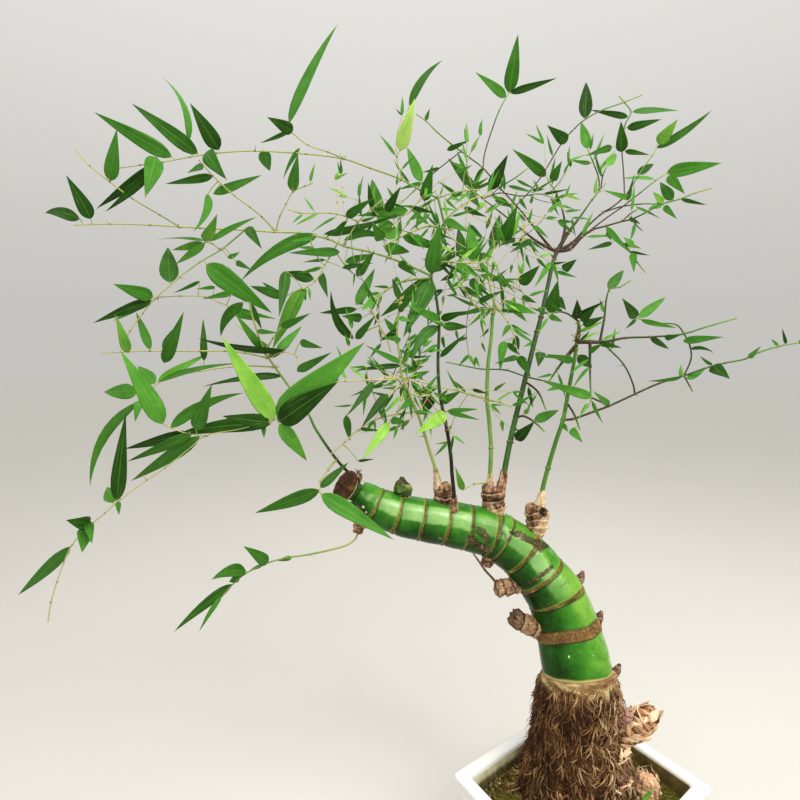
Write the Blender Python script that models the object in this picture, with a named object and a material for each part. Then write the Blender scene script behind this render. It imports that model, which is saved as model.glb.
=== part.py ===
"""Potted spiny bamboo: a rectangular glazed pot, its soil, an old ringed stem that leans over from a clump of
roots, the stubs and buds on it, and seven leafy stems.

Metres, +Z up, +Y away from the viewer, +X to the viewer's right, origin at the centre of the pot's foot.

The plant is drawn on an upright sheet, in millimetres across and down from the sheet's top left corner. The
sheet stands 470 mm from the eye, at the old stem's depth, and a point can be brought nearer than the sheet.
"""

import math
import random

import bpy
import bmesh
from mathutils import Vector
from mathutils.bvhtree import BVHTree

MM = 0.001
GAP = 0.0003

# Pot
RIM_LONG = 0.211
RIM_SHORT = 0.165
POT_TALL = 0.115
POT_TURN = math.radians(34.5)
RIM_CORNER = 0.009
CORNER_STEPS = 4
OUTER_WALL = [(0.0, 0.0240), (0.003, 0.0225), (0.050, 0.0140), (0.100, 0.0040), (0.110, 0.0008),
              (0.1138, 0.0), (POT_TALL, 0.0014)]
INNER_WALL = [(POT_TALL, 0.0125), (0.1135, 0.0138), (0.105, 0.0165), (0.060, 0.0225), (0.012, 0.0300)]
DRAIN_RADIUS = 0.006
DRAIN_OUT = 0.045
DRAIN_SIDES = 16

# Soil
SOIL_FOOT = 0.0123
SOIL_TOP = 0.099
SOIL_BUMP = 0.0022
SOIL_RINGS = 5

# Root clump
ROOT_FOOT = Vector((-0.001, 0.008, 0.0860))
ROOT_WIDE = 0.060
ROOT_DEEP = 0.045
ROOT_SIDES = 44
ROOT_RIDGE = 0.035
ROOT_TWIST = 0.5
ROOT_PROFILE = [(0.0, 1.0), (0.088, 1.0), (0.13, 0.99), (0.22, 0.93), (0.33, 0.86), (0.46, 0.80),
                (0.58, 0.735), (0.70, 0.70), (0.82, 0.69), (0.91, 0.67), (0.96, 0.64), (1.0, 0.60)]

# The drawing sheet and the eye that looks at it
SHEET_AWAY = 470.0
SHEET_MIDDLE = 400.0
EYE = Vector((-0.190, -0.459, POT_TALL + 0.440))
LOOK_DOWN = math.radians(4.8)
RIGHT = Vector((1, 0, 0))
AHEAD = Vector((0, math.cos(LOOK_DOWN), -math.sin(LOOK_DOWN)))
UP = Vector((0, math.sin(LOOK_DOWN), math.cos(LOOK_DOWN)))

# Old stem: across, down, near, radius, all as drawn on the sheet
TRUNK = [(577, 672, -20, 33.6), (574, 655, -24, 32.8), (568, 631, -30, 31.2), (556, 597, -38, 28.6),
         (540, 575, -42, 26.2), (521, 553, -45, 24.4), (500, 538, -46, 24.0), (490, 533, -45, 23.4),
         (466, 527, -43, 22.6), (445, 523, -41, 21.9), (421, 519, -39, 21.1), (397, 514, -37, 19.8),
         (375, 505, -36, 18.2), (366, 499, -35, 16.4), (358, 493, -34, 13.8)]
TRUNK_JOINTS = [(568, 631), (556, 597), (540, 575), (521, 553), (500, 538), (490, 533), (466, 527),
                (445, 523), (421, 519), (397, 514), (375, 505)]
JOINT_STEPS = [(-2.0, 0.0), (-0.3, 0.9), (1.6, -0.5)]
TRUNK_SIDES = 16
CUT_END = [(357, 493, -34, 9.0), (351, 490, -34, 9.5), (347, 489, -33, 14.5), (345, 487, -33, 16.0),
           (341, 482, -32, 16.0), (340, 481, -32, 12.0)]
END_TUFT = [(352, 491, -36, 4.0), (357, 483, -37, 4.8), (359, 476, -37, 4.2), (358, 471, -37, 1.5)]

# Stubs and buds on the old stem: across, down, near, radius, all as drawn on the sheet
STUBS = {
    "stub_left": [(446, 516, -40, 7.4), (445, 505, -40, 9.0), (444, 499, -40, 9.8), (443, 494, -40, 8.8),
                  (443, 490, -40, 9.6), (442, 486, -40, 8.4), (441, 484, -40, 5.6)],
    "stub_middle": [(497, 522, -46, 8.0), (495, 512, -46, 10.4), (494, 506, -46, 12.0), (493, 501, -46, 10.8),
                    (493, 495, -46, 12.2), (493, 489, -46, 11.0), (494, 486, -46, 7.5)],
    "stub_right": [(533, 545, -45, 5.5), (536, 533, -44, 7.6), (537, 526, -44, 11.0), (537, 521, -44, 10.6),
                   (537, 514, -44, 12.2), (537, 508, -44, 11.0), (538, 505, -44, 7.0)],
    "stub_lower": [(528, 583, -38, 7.0), (514, 586, -36, 7.6), (508, 587, -35, 8.6), (503, 587, -35, 7.8),
                   (498, 588, -35, 8.6), (495, 588, -35, 6.0)],
    "stub_front": [(547, 634, -28, 8.0), (530, 626, -26, 9.6), (525, 623, -25, 8.8), (519, 620, -25, 9.8),
                   (515, 617, -24, 9.0), (514, 616, -24, 6.5)],
    "stub_under": [(492, 548, -40, 6.0), (488, 560, -38, 6.6), (486, 566, -38, 5.0)],
    "stub_low": [(367, 508, -34, 6.4), (362, 519, -34, 7.4), (359, 527, -34, 6.0), (357, 533, -34, 4.4)],
    "bud_green": [(406, 508, -38, 6.4), (404, 498, -38, 7.8), (403, 490, -38, 8.8), (402, 483, -38, 6.8),
                  (402, 477, -38, 2.0)],
    "bud_upper": [(565, 597, -40, 5.6), (575, 586, -40, 5.4), (581, 577, -40, 4.2), (583, 571, -40, 1.4)],
    "bud_middle": [(582, 634, -32, 6.0), (594, 625, -31, 5.8), (599, 617, -31, 4.4), (602, 611, -31, 1.4)],
    "bud_lower": [(598, 684, -18, 5.5), (610, 677, -16, 5.0), (617, 670, -15, 4.0), (620, 664, -15, 1.4)],
}
STUB_SIDES = 10
BUD_ROOT = [(614, 740, -10, 8.0), (629, 731, -6, 11.5), (637, 725, -4, 13.5), (646, 717, -2, 12.0),
            (653, 709, 0, 7.0)]
CUT_SHOOT = [(643, 812, -34, 11.0), (645, 799, -34, 12.2), (646, 787, -33, 12.0), (647, 778, -33, 12.6),
             (647, 773, -33, 9.5)]
GREEN_SHOOT = [(638, 834, -6, 3.0), (641, 815, -5, 3.6), (645, 801, -7, 2.8), (651, 791, -8, 0.8)]
LOWER_TWIG = [(500, 588, -35, 1.4), (494, 580, -32, 1.3), (485, 570, -26, 1.1), (478, 560, -19, 1.0),
              (473, 553, -15, 0.8)]
CUT_HOLE = [(544, 511, -26, 4.6), (543, 514, -38, 4.2)]

# Leafy stems. A culm's route is across, down; its ends give near. A twig is how far its tip comes nearer
# than its root, then its route. A leaf is its base, its tip and its width, then its bow and its rise
# towards the viewer.
CULM_SIDES = 5
TWIG_SIDES = 3
LEAF_THICK = 0.00090
LEAF_FOLD = 0.16
WIDEST_TO_LENGTH = 0.155
RISE_LIMIT = 26.0
NECK = 0.0005
ROOT_SPREAD = 2.5
LONGEST_NECK = 0.005
LONGEST_PLAIN_STALK = 0.012
SHORT_LEAF = 0.075
BLADE_STATIONS = [(0.022, [(0.38, 1.0)]), (SHORT_LEAF, [(0.22, 0.86), (0.62, 0.84)]),
                  (9.0, [(0.13, 0.62), (0.40, 1.0), (0.74, 0.64)])]
BLADE_ARCH = 0.18
CLEAR_MARGIN = 0.0012
CLEAR_STEPS = (0, 9, -9, 18, -18, 27, -27, 38, -38, 50, -50)
SPINE_APART = 130.0
SPINE_LONG = 7.0
SPINE_WIDE = 0.65
TIP_SHORT = 1.2
THIN_SLACK = 2.0
THIN_LONGEST = 60.0
SWELL = 1.3
TWIG_TO_SHOOT = 0.8
TWIG_TAPER = 0.6
TWIG_THICKEST = 1.5
TWIG_THINNEST = 0.8

STEMS = {
    "stem_cut_end": {
        "foot": (366, 495, -43),
        "culm": [(353, 477), (342, 466), (331, 452), (315, 428), (309, 415), (300, 403), (290, 388),
                 (275, 367), (265, 352), (257, 331), (252, 315), (250, 303)],
        "near": (-54, 36), "radius": (1.7, 1.0),
        "joints": [(342, 466), (300, 403), (265, 352)],
        "twigs": [
            (48, [(303, 407), (288, 414), (272, 421)]),
            (8, [(272, 421), (240, 429), (205, 436), (190, 448), (165, 468), (147, 480), (121, 499),
                 (105, 513), (85, 530), (72, 545), (64, 562), (57, 582), (51, 602), (48, 622)]),
            (10, [(205, 436), (185, 433), (167, 426)]),
            (46, [(336, 460), (328, 470), (320, 482), (320, 493)]),
            (12, [(268, 357), (245, 353), (225, 351), (200, 351), (150, 351), (101, 353)]),
            (12, [(275, 367), (243, 366), (200, 371), (165, 379), (153, 387), (139, 400)]),
            (6, [(268, 357), (283, 352), (297, 357), (298, 372)]),
            (-6, [(262, 345), (248, 334), (236, 323)]),
            (8, [(265, 352), (273, 338), (281, 327)]),
        ],
        "leaves": [
            (274, 420, 221, 335, 20), (277, 419, 365, 342, 30), (279, 422, 338, 382, 24),
            (279, 424, 307, 461, 15), (270, 423, 222, 416, 15), (271, 424, 170, 438, 15, -5),
            (163, 424, 120, 350, 19), (170, 428, 244, 393, 12, 7), (196, 430, 212, 384, 15),
            (190, 432, 124, 449, 11), (192, 434, 126, 462, 11), (200, 436, 131, 481, 14),
            (128, 353, 115, 314, 10), (138, 391, 104, 392, 16), (139, 401, 90, 487, 9, -17),
            (139, 401, 135, 422, 8), (158, 381, 209, 353, 9), (158, 382, 243, 363, 8),
            (155, 384, 138, 366, 13), (150, 350, 136, 312, 9), (164, 363, 184, 311, 12),
            (163, 350, 176, 326, 8), (204, 361, 203, 318, 7), (117, 501, 126, 412, 14),
            (113, 503, 107, 487, 13), (90, 524, 66, 520, 14), (86, 528, 82, 553, 14),
            (88, 522, 92, 544, 9), (71, 546, 18, 595, 12), (320, 490, 255, 513, 14),
            (320, 488, 349, 462, 9), (321, 494, 394, 540, 17, 0, 6), (243, 302, 221, 337, 11, -6),
            (262, 349, 234, 312, 8), (285, 350, 197, 338, 7), (282, 376, 202, 387, 7),
            (276, 352, 302, 326, 9), (270, 352, 250, 336, 8), (297, 371, 332, 352, 9),
            (300, 342, 323, 348, 8), (250, 303, 262, 330, 6), (257, 331, 280, 333, 5),
            (281, 327, 311, 313, 8), (268, 357, 290, 345, 7),
        ],
    },
    "stem_dark": {
        "foot": (455, 519, -27),
        "culm": [(454, 494), (452, 474), (451, 458), (447, 430), (440, 395), (438, 364), (439, 323),
                 (435, 290), (431, 277), (436, 262), (442, 243), (445, 231), (442, 214), (438, 198)],
        "near": (-26, -38), "radius": (2.5, 1.4),
        "joints": [(447, 430), (440, 395), (439, 323), (431, 277), (445, 231)],
        "twigs": [
            (55, [(438, 198), (420, 190), (400, 179), (370, 168), (344, 159), (306, 154), (255, 151),
                 (217, 153), (190, 157), (163, 162), (140, 165), (119, 168)]),
            (10, [(344, 159), (328, 152), (308, 145), (291, 132)]),
            (60, [(431, 276), (410, 266), (390, 258), (370, 252), (344, 246), (328, 239), (300, 233),
                 (275, 232), (245, 230), (200, 228), (150, 225), (110, 224), (74, 225)]),
            (8, [(276, 232), (262, 217), (250, 207), (235, 196), (213, 176), (199, 160)]),
            (8, [(276, 231), (280, 216), (286, 204), (293, 192), (305, 186), (313, 183)]),
            (12, [(178, 227), (160, 215), (133, 199), (110, 182), (90, 166), (76, 150)]),
            (12, [(245, 231), (222, 249), (200, 262), (180, 277), (155, 299), (143, 313), (130, 331),
                 (121, 347)]),
            (4, [(220, 250), (213, 244), (205, 242)]),
            (10, [(338, 245), (325, 265), (315, 281), (303, 289)]),
            (14, [(344, 245), (358, 222), (383, 199)]),
            (8, [(358, 222), (345, 216), (330, 213), (300, 213), (288, 209)]),
            (12, [(442, 229), (430, 226), (418, 229), (400, 237), (383, 246)]),
            (10, [(438, 198), (425, 204), (400, 218), (392, 228)]),
            (12, [(431, 278), (405, 281), (385, 291), (370, 303), (373, 313), (385, 335), (391, 352)]),
            (6, [(402, 180), (399, 168), (397, 157), (400, 150)]),
            (-8, [(438, 198), (452, 193), (465, 190), (480, 190)]),
            (-8, [(444, 222), (462, 205), (475, 198), (490, 194)]),
            (-8, [(436, 262), (452, 262), (470, 263), (484, 262)]),
            (-6, [(157, 298), (180, 296), (205, 297), (230, 307)]),
        ],
        "leaves": [
            (172, 157, 94, 112, 15), (198, 154, 131, 103, 15), (188, 142, 161, 76, 6, -7),
            (219, 150, 190, 103, 16), (206, 152, 227, 180, 16), (203, 165, 187, 173, 6),
            (213, 176, 165, 184, 8), (156, 157, 145, 198, 17), (163, 163, 96, 209, 11),
            (150, 172, 105, 212, 8), (110, 181, 117, 128, 13), (91, 219, 66, 175, 14),
            (80, 219, 45, 213, 12, -3), (213, 194, 262, 175, 9), (208, 194, 193, 232, 8, 5),
            (205, 241, 217, 214, 12), (211, 241, 257, 217, 6), (205, 241, 155, 240, 4),
            (204, 243, 172, 250, 8), (205, 243, 176, 264, 8), (247, 227, 262, 249, 10),
            (262, 150, 270, 171, 13), (293, 131, 267, 117, 12), (289, 131, 260, 143, 4),
            (289, 124, 338, 24, 8, -2), (292, 191, 298, 154, 11), (300, 148, 283, 180, 4, -3),
            (170, 283, 168, 247, 18), (206, 264, 272, 313, 22), (153, 297, 113, 284, 14),
            (152, 300, 93, 323, 10), (142, 305, 113, 321, 5), (200, 281, 173, 293, 4),
            (215, 287, 196, 289, 4), (232, 293, 202, 299, 6), (232, 310, 258, 321, 9),
            (238, 309, 277, 319, 5), (236, 262, 252, 270, 6), (318, 235, 241, 281, 13, -7),
            (324, 234, 400, 213, 9), (340, 252, 288, 253, 9), (314, 279, 284, 272, 11),
            (302, 288, 272, 350, 15), (286, 271, 279, 317, 11), (285, 297, 250, 286, 10),
            (284, 298, 262, 282, 6), (321, 275, 328, 298, 8), (346, 217, 373, 198, 9),
            (378, 216, 372, 179, 15), (372, 207, 368, 182, 6), (407, 211, 356, 216, 9),
            (386, 212, 401, 186, 9), (395, 239, 376, 214, 16), (382, 240, 372, 222, 12),
            (344, 240, 388, 243, 8, 9), (384, 247, 410, 252, 12), (402, 236, 448, 250, 10),
            (431, 274, 440, 222, 16), (436, 272, 455, 246, 10), (430, 279, 380, 317, 14),
            (431, 281, 403, 338, 18), (440, 320, 406, 305, 9), (441, 319, 467, 311, 8),
            (442, 326, 468, 327, 9), (438, 326, 411, 364, 12, -6), (440, 357, 467, 333, 6),
            (437, 345, 420, 354, 4), (399, 262, 415, 276, 8), (357, 276, 375, 250, 9),
            (356, 305, 375, 268, 11), (345, 262, 374, 254, 8), (342, 268, 374, 263, 5),
            (375, 298, 361, 311, 8), (357, 309, 319, 313, 7), (362, 318, 341, 316, 9),
            (353, 339, 331, 290, 10, 6), (356, 339, 376, 315, 8), (474, 263, 469, 222, 14),
            (464, 258, 458, 228, 12), (446, 220, 471, 233, 8), (424, 201, 433, 164, 12),
            (422, 182, 407, 147, 11), (400, 151, 415, 98, 14), (409, 106, 443, 60, 8, 5),
            (413, 208, 435, 213, 5), (430, 214, 409, 231, 4), (441, 402, 461, 391, 9),
            (447, 411, 479, 409, 5), (448, 412, 480, 420, 5), (446, 413, 415, 434, 14),
        ],
    },
    "stem_thin": {
        "foot": (442, 495, -40),
        "culm": [(439, 479), (436, 470), (430, 452), (425, 436), (417, 412), (408, 392), (402, 376),
                 (400, 357), (397, 335), (399, 312), (400, 300)],
        "near": (-40, -8), "radius": (2.0, 1.0),
        "joints": [(436, 470), (408, 392), (400, 357)],
        "twigs": [
            (12, [(402, 378), (372, 380), (345, 381), (325, 383)]),
            (-6, [(402, 378), (418, 381), (430, 384)]),
            (12, [(417, 412), (400, 414), (380, 418), (358, 430), (345, 442), (330, 455)]),
            (6, [(403, 382), (394, 390), (388, 396)]),
            (8, [(404, 386), (401, 400), (397, 412), (391, 420), (389, 424)]),
            (8, [(403, 379), (385, 378), (372, 384), (358, 402), (347, 414)]),
            (4, [(408, 392), (420, 396), (430, 395)]),
        ],
        "leaves": [
            (388, 394, 361, 428, 10), (389, 423, 362, 460, 11), (391, 420, 408, 423, 8),
            (374, 383, 347, 416, 8), (346, 415, 350, 441, 8), (431, 394, 424, 414, 13),
            (412, 400, 398, 411, 8), (402, 363, 365, 345, 6), (401, 366, 350, 372, 6),
            (410, 365, 430, 359, 6), (401, 340, 380, 337, 5), (397, 334, 384, 318, 7),
            (401, 365, 417, 344, 4), (366, 367, 350, 367, 3), (410, 378, 430, 371, 6),
            (360, 429, 382, 431, 4), (358, 461, 375, 459, 3), (399, 312, 410, 296, 6),
            (400, 300, 392, 278, 7), (398, 330, 380, 341, 6), (403, 372, 424, 366, 7),
        ],
    },
    "stem_pale": {
        "foot": (490, 502, -46),
        "culm": [(490, 476), (491, 448), (489, 420), (487, 399), (488, 365), (491, 340), (493, 314),
                 (495, 305)],
        "near": (-46, -82), "radius": (2.5, 1.8),
        "joints": [(490, 476), (491, 448), (487, 399), (493, 314)],
        "twigs": [
            (4, [(487, 399), (472, 395), (458, 391), (446, 388)]),
            (3, [(487, 400), (500, 402), (511, 407)]),
            (-8, [(495, 308), (500, 311), (518, 311), (534, 313)]),
            (-6, [(495, 306), (492, 295), (489, 280), (487, 262), (484, 256)]),
            (4, [(495, 306), (508, 322), (515, 338)]),
            (-8, [(488, 274), (505, 286), (520, 290), (527, 297)]),
            (-8, [(484, 256), (492, 250), (503, 243), (515, 238), (532, 240)]),
            (-4, [(503, 243), (506, 236), (515, 229), (536, 222)]),
            (8, [(494, 307), (478, 308), (466, 292), (455, 272), (450, 262)]),
            (8, [(490, 482), (474, 484), (463, 490)]),
        ],
        "leaves": [
            (492, 250, 500, 214, 11), (503, 243, 518, 204, 14), (463, 490, 455, 466, 7),
            (471, 279, 484, 298, 9), (478, 302, 505, 290, 6), (480, 275, 517, 283, 6),
            (520, 284, 540, 265, 12), (461, 281, 471, 267, 8), (532, 240, 509, 253, 6),
            (515, 239, 499, 246, 5), (512, 306, 537, 314, 9), (505, 300, 527, 322, 8),
            (522, 297, 537, 303, 6), (504, 341, 500, 372, 9), (518, 357, 494, 364, 6),
            (507, 343, 520, 355, 6), (487, 308, 452, 317, 5), (463, 287, 483, 300, 6),
            (455, 274, 440, 281, 5), (515, 335, 519, 350, 6), (506, 287, 500, 272, 6),
        ],
    },
    "stem_thick": {
        "foot": (500, 503, -46),
        "culm": [(503, 482), (505, 468), (510, 442), (517, 412), (527, 372), (537, 332), (541, 317),
                 (548, 285), (553, 262), (557, 251)],
        "near": (-46, -130), "radius": (3.3, 2.2),
        "joints": [(503, 482), (510, 442), (537, 332), (541, 317), (557, 251)],
        "twigs": [
            (-12, [(557, 251), (568, 233), (580, 217), (592, 200), (606, 183)]),
            (-5, [(598, 191), (599, 180), (595, 167), (588, 150)]),
            (3, [(600, 190), (603, 175), (607, 166)]),
            (-25, [(557, 251), (572, 243), (588, 226), (600, 215), (615, 205), (625, 196), (632, 186),
                 (643, 168), (652, 156), (657, 148)]),
            (10, [(557, 251), (570, 249), (582, 237), (592, 230), (606, 226), (620, 222), (632, 219),
                 (645, 213), (662, 204), (680, 199), (695, 193), (712, 188)]),
            (-30, [(588, 233), (605, 219), (622, 207), (640, 193), (655, 181), (667, 173)]),
            (-8, [(624, 196), (624, 180), (623, 165), (622, 150), (625, 125), (631, 112), (625, 103),
                 (619, 96)]),
            (10, [(603, 212), (620, 207), (640, 204), (662, 204)]),
            (14, [(606, 226), (618, 238), (629, 250), (637, 262), (646, 273)]),
            (6, [(622, 222), (630, 214), (638, 209)]),
            (6, [(632, 219), (637, 226), (643, 231)]),
            (-8, [(562, 243), (565, 225), (561, 205), (556, 192), (548, 181)]),
            (14, [(557, 252), (545, 246), (536, 241), (520, 228), (500, 212), (482, 198), (466, 185)]),
            (-6, [(553, 250), (540, 235), (530, 222), (515, 204), (500, 188), (483, 168), (470, 158),
                 (450, 143), (437, 132), (426, 121), (416, 114)]),
            (8, [(483, 168), (484, 157), (487, 145), (493, 127), (499, 111), (508, 94)]),
            (4, [(483, 198), (500, 193), (520, 196), (540, 194), (556, 199)]),
            (5, [(491, 195), (500, 187), (515, 178), (528, 168)]),
            (0, [(461, 151), (436, 171), (415, 190), (398, 206)]),
            (-8, [(516, 206), (530, 191), (541, 177), (552, 159), (562, 143), (572, 131), (583, 121),
                 (600, 111), (622, 103), (642, 95)]),
            (6, [(516, 417), (523, 416), (533, 421), (545, 432)]),
            (-6, [(529, 383), (538, 392), (546, 410)]),
        ],
        "leaves": [
            (667, 172, 722, 163, 13), (668, 176, 685, 194, 9), (673, 200, 660, 182, 10),
            (654, 179, 620, 179, 3), (637, 174, 654, 164, 8), (656, 148, 712, 110, 7),
            (658, 144, 678, 119, 12), (630, 199, 602, 190, 5), (622, 152, 621, 121, 11),
            (625, 151, 650, 155, 5), (627, 128, 662, 119, 8), (632, 112, 680, 111, 6),
            (628, 117, 590, 110, 6), (612, 147, 585, 156, 7), (607, 166, 616, 153, 9),
            (588, 149, 581, 122, 10), (552, 181, 562, 161, 9), (546, 176, 512, 149, 10),
            (567, 142, 547, 125, 11), (585, 119, 586, 82, 13), (606, 227, 630, 253, 6),
            (633, 253, 634, 273, 7), (612, 243, 587, 250, 5), (664, 206, 677, 219, 6),
            (681, 199, 707, 205, 4), (509, 93, 518, 34, 14), (506, 97, 475, 72, 9),
            (510, 93, 557, 78, 7), (447, 150, 470, 140, 5), (477, 192, 448, 158, 9),
            (483, 168, 473, 183, 5), (490, 190, 508, 154, 12), (470, 193, 480, 208, 9),
            (495, 200, 513, 210, 6, 3), (464, 208, 487, 217, 6), (551, 313, 558, 280, 14),
            (555, 299, 566, 310, 11), (563, 270, 577, 259, 9), (516, 440, 535, 421, 11),
            (534, 421, 559, 410, 10), (541, 352, 538, 367, 10), (551, 262, 534, 288, 6),
            (519, 356, 531, 378, 9),
        ],
    },
    "stem_right": {
        "foot": (539, 515, -46),
        "culm": [(542, 492), (548, 468), (556, 441), (563, 420), (569, 388), (574, 362), (576, 349),
                 (577, 338)],
        "near": (-46, -22), "radius": (2.6, 1.9),
        "joints": [(548, 468), (563, 420), (576, 349)],
        "twigs": [
            (-8, [(563, 420), (573, 419), (590, 413), (609, 406), (635, 394), (660, 383), (683, 376),
                 (706, 368), (725, 363), (745, 359), (760, 352), (780, 346), (803, 342)]),
            (14, [(635, 394), (633, 384), (624, 365), (610, 350), (600, 341)]),
            (-14, [(684, 376), (691, 359), (690, 346), (684, 334), (677, 325), (660, 323), (645, 320),
                 (636, 318)]),
            (12, [(577, 342), (590, 342), (603, 342), (625, 338), (650, 337), (683, 334), (706, 327),
                 (737, 318)]),
            (6, [(577, 340), (579, 330), (578, 321)]),
            (10, [(578, 322), (566, 313), (556, 312), (549, 316)]),
            (-8, [(600, 341), (604, 320), (609, 290), (620, 287), (631, 280)]),
            (-70, [(609, 405), (590, 397), (565, 386), (540, 380), (527, 377), (505, 370), (481, 369),
                 (460, 365), (446, 362)]),
            (5, [(685, 377), (689, 385), (693, 392)]),
            (-8, [(577, 345), (568, 355), (558, 368), (548, 383)]),
            (6, [(590, 343), (590, 370), (591, 402)]),
            (4, [(566, 404), (574, 414), (580, 430)]),
        ],
        "leaves": [
            (636, 318, 622, 298, 10), (638, 318, 666, 297, 9), (641, 320, 678, 328, 5),
            (683, 341, 724, 337, 8), (690, 349, 714, 353, 4, 3), (686, 379, 706, 368, 7),
            (682, 377, 647, 381, 4), (712, 366, 730, 379, 12), (749, 358, 761, 346, 5),
            (797, 343, 815, 339, 6), (786, 344, 782, 328, 3), (665, 338, 681, 335, 6),
            (650, 337, 669, 349, 6), (608, 289, 624, 270, 10), (577, 319, 577, 299, 10),
            (578, 316, 605, 301, 6), (581, 321, 596, 307, 9), (583, 325, 605, 316, 8),
            (589, 352, 604, 343, 6), (609, 405, 593, 391, 7), (592, 397, 540, 380, 10),
            (578, 355, 592, 368, 11), (573, 361, 546, 354, 8), (571, 429, 583, 443, 8),
            (600, 343, 622, 348, 6),
        ],
    },
    "stem_low": {
        "foot": (360, 524, -34),
        "culm": [(356, 538), (347, 545), (330, 550), (306, 555), (285, 558), (265, 564), (245, 574),
                 (232, 585), (223, 595)],
        "near": (-34, -6), "radius": (1.5, 0.9),
        "joints": [(285, 558), (245, 574)],
        "twigs": [],
        "leaves": [
            (268, 563, 243, 546, 12), (246, 571, 211, 580, 13, -4), (233, 584, 174, 632, 9),
            (222, 596, 199, 632, 5),
        ],
    },
}
SOCKETS = {
    "stem_cut_end": "trunk", "stem_dark": "trunk", "stem_thin": "stub_left", "stem_pale": "stub_middle",
    "stem_thick": "stub_middle", "stem_right": "stub_right", "stem_low": "stub_low",
}

COLOURS = {
    "pot": ((0.80, 0.82, 0.80), 0.16),
    "soil": ((0.045, 0.032, 0.020), 0.95),
    "root_mass": ((0.16, 0.075, 0.035), 0.9),
    "trunk": ((0.10, 0.36, 0.06), 0.22),
    "cut_end": ((0.10, 0.045, 0.025), 0.8),
    "stub": ((0.36, 0.21, 0.10), 0.7),
    "bud_green": ((0.20, 0.24, 0.07), 0.6),
    "bud": ((0.34, 0.20, 0.17), 0.65),
    "bud_root": ((0.45, 0.22, 0.08), 0.8),
    "cut_shoot": ((0.48, 0.26, 0.10), 0.75),
    "green_shoot": ((0.25, 0.55, 0.08), 0.45),
    "leaf": ((0.10, 0.30, 0.05), 0.5),
}


def finish_for(name):
    """The material of a piece, made once for each colour."""
    kind = name if name in COLOURS else name.split("_")[0]
    kind = "leaf" if kind == "stem" else kind
    made = bpy.data.materials.get(kind)
    if made is None:
        made = bpy.data.materials.new(kind)
        made.use_nodes = True
        colour, roughness = COLOURS[kind]
        shader = made.node_tree.nodes["Principled BSDF"]
        shader.inputs["Base Color"].default_value = (*colour, 1.0)
        shader.inputs["Roughness"].default_value = roughness
        shader.inputs["Metallic"].default_value = 0.0
        made.diffuse_color = (*colour, 1.0)
    return made


def add_object(name, shape, collection=None):
    """An object with the given points and faces, in the scene or in a collection of parts."""
    mesh = bpy.data.meshes.new(name)
    mesh.from_pydata(*[list(shape[0]), [], list(shape[1])])
    mesh.update()
    made = bpy.data.objects.new(name, mesh)
    (collection or bpy.context.scene.collection).objects.link(made)
    return made


def apply_boolean(target, shapes, operation, solver):
    """Join shapes to the target, or cut them out of it, and drop them."""
    extras = bpy.data.collections.new(target.name + ".shapes")
    bpy.context.scene.collection.children.link(extras)
    for shape in shapes:
        add_object(target.name + ".shape", shape, extras)
    step = target.modifiers.new("boolean", "BOOLEAN")
    step.operation = operation
    step.operand_type = "COLLECTION"
    step.collection = extras
    step.solver = solver
    bpy.context.view_layer.update()
    evaluated = target.evaluated_get(bpy.context.evaluated_depsgraph_get())
    result = bpy.data.meshes.new_from_object(evaluated)
    target.modifiers.remove(step)
    target.data = result
    for extra in list(extras.objects):
        bpy.data.objects.remove(extra, do_unlink=True)
    bpy.data.collections.remove(extras)


def keep_largest_body(made):
    """Drop loose scraps and sealed hollows, so that the piece is one body."""
    shape = bmesh.new()
    shape.from_mesh(made.data)
    left = set(shape.faces)
    bodies = []
    while left:
        body = set()
        waiting = [next(iter(left))]
        while waiting:
            face = waiting.pop()
            if face not in body:
                body.add(face)
                waiting += [beside for edge in face.edges for beside in edge.link_faces]
        left -= body
        bodies.append(body)
    keep = max(bodies, key=len, default=set())
    bmesh.ops.delete(shape, geom=[face for face in shape.faces if face not in keep], context="FACES")
    shape.to_mesh(made.data)
    shape.free()


def finish_piece(made, smooth_below=40):
    """Keep a piece's one body, give it its material, and smooth its round faces."""
    keep_largest_body(made)
    made.data.materials.clear()
    made.data.materials.append(finish_for(made.name))
    made.data.shade_smooth()
    made.data.set_sharp_from_angle(angle=math.radians(smooth_below))


def on_sheet(across, down, near=0.0):
    """The place of a point drawn on the sheet, brought nearer to the eye."""
    depth = SHEET_AWAY - near
    scale = depth / SHEET_AWAY
    aside = RIGHT * (across - SHEET_MIDDLE) + UP * (SHEET_MIDDLE - down)
    return EYE + MM * (AHEAD * depth + aside * scale)


def skin(rows, sides, split=False):
    """Faces between rows of equally many points, split into triangles if need be, and a face at each end."""
    faces = [tuple(reversed(range(sides))), tuple(range((rows - 1) * sides, rows * sides))]
    for row in range(rows - 1):
        for step in range(sides):
            here = row * sides + step
            beside = row * sides + (step + 1) % sides
            if split:
                faces += [(here, beside, beside + sides), (here, beside + sides, here + sides)]
            else:
                faces.append((here, beside, beside + sides, here + sides))
    return faces


def on_sheet_size(near, size):
    """The true size of what is drawn on the sheet at a size, when it is brought nearer to the eye."""
    return size * MM * (SHEET_AWAY - near) / SHEET_AWAY


def tube(route, radii, sides, ways=None):
    """A closed tube along the route, with flat ends. Its rings face along the route, or the given ways."""
    count = len(route)
    side = None
    points = []
    for index, (place, radius) in enumerate(zip(route, radii)):
        along = (route[min(index + 1, count - 1)] - route[max(index - 1, 0)]).normalized()
        if ways:
            along = ways[index]
        side = along.orthogonal() if side is None else side - along * side.dot(along)
        side.normalize()
        across = along.cross(side)
        for step in range(sides):
            turn = math.tau * step / sides
            points.append(place + radius * (math.cos(turn) * side + math.sin(turn) * across))
    return points, skin(count, sides, split=ways is not None)


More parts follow.
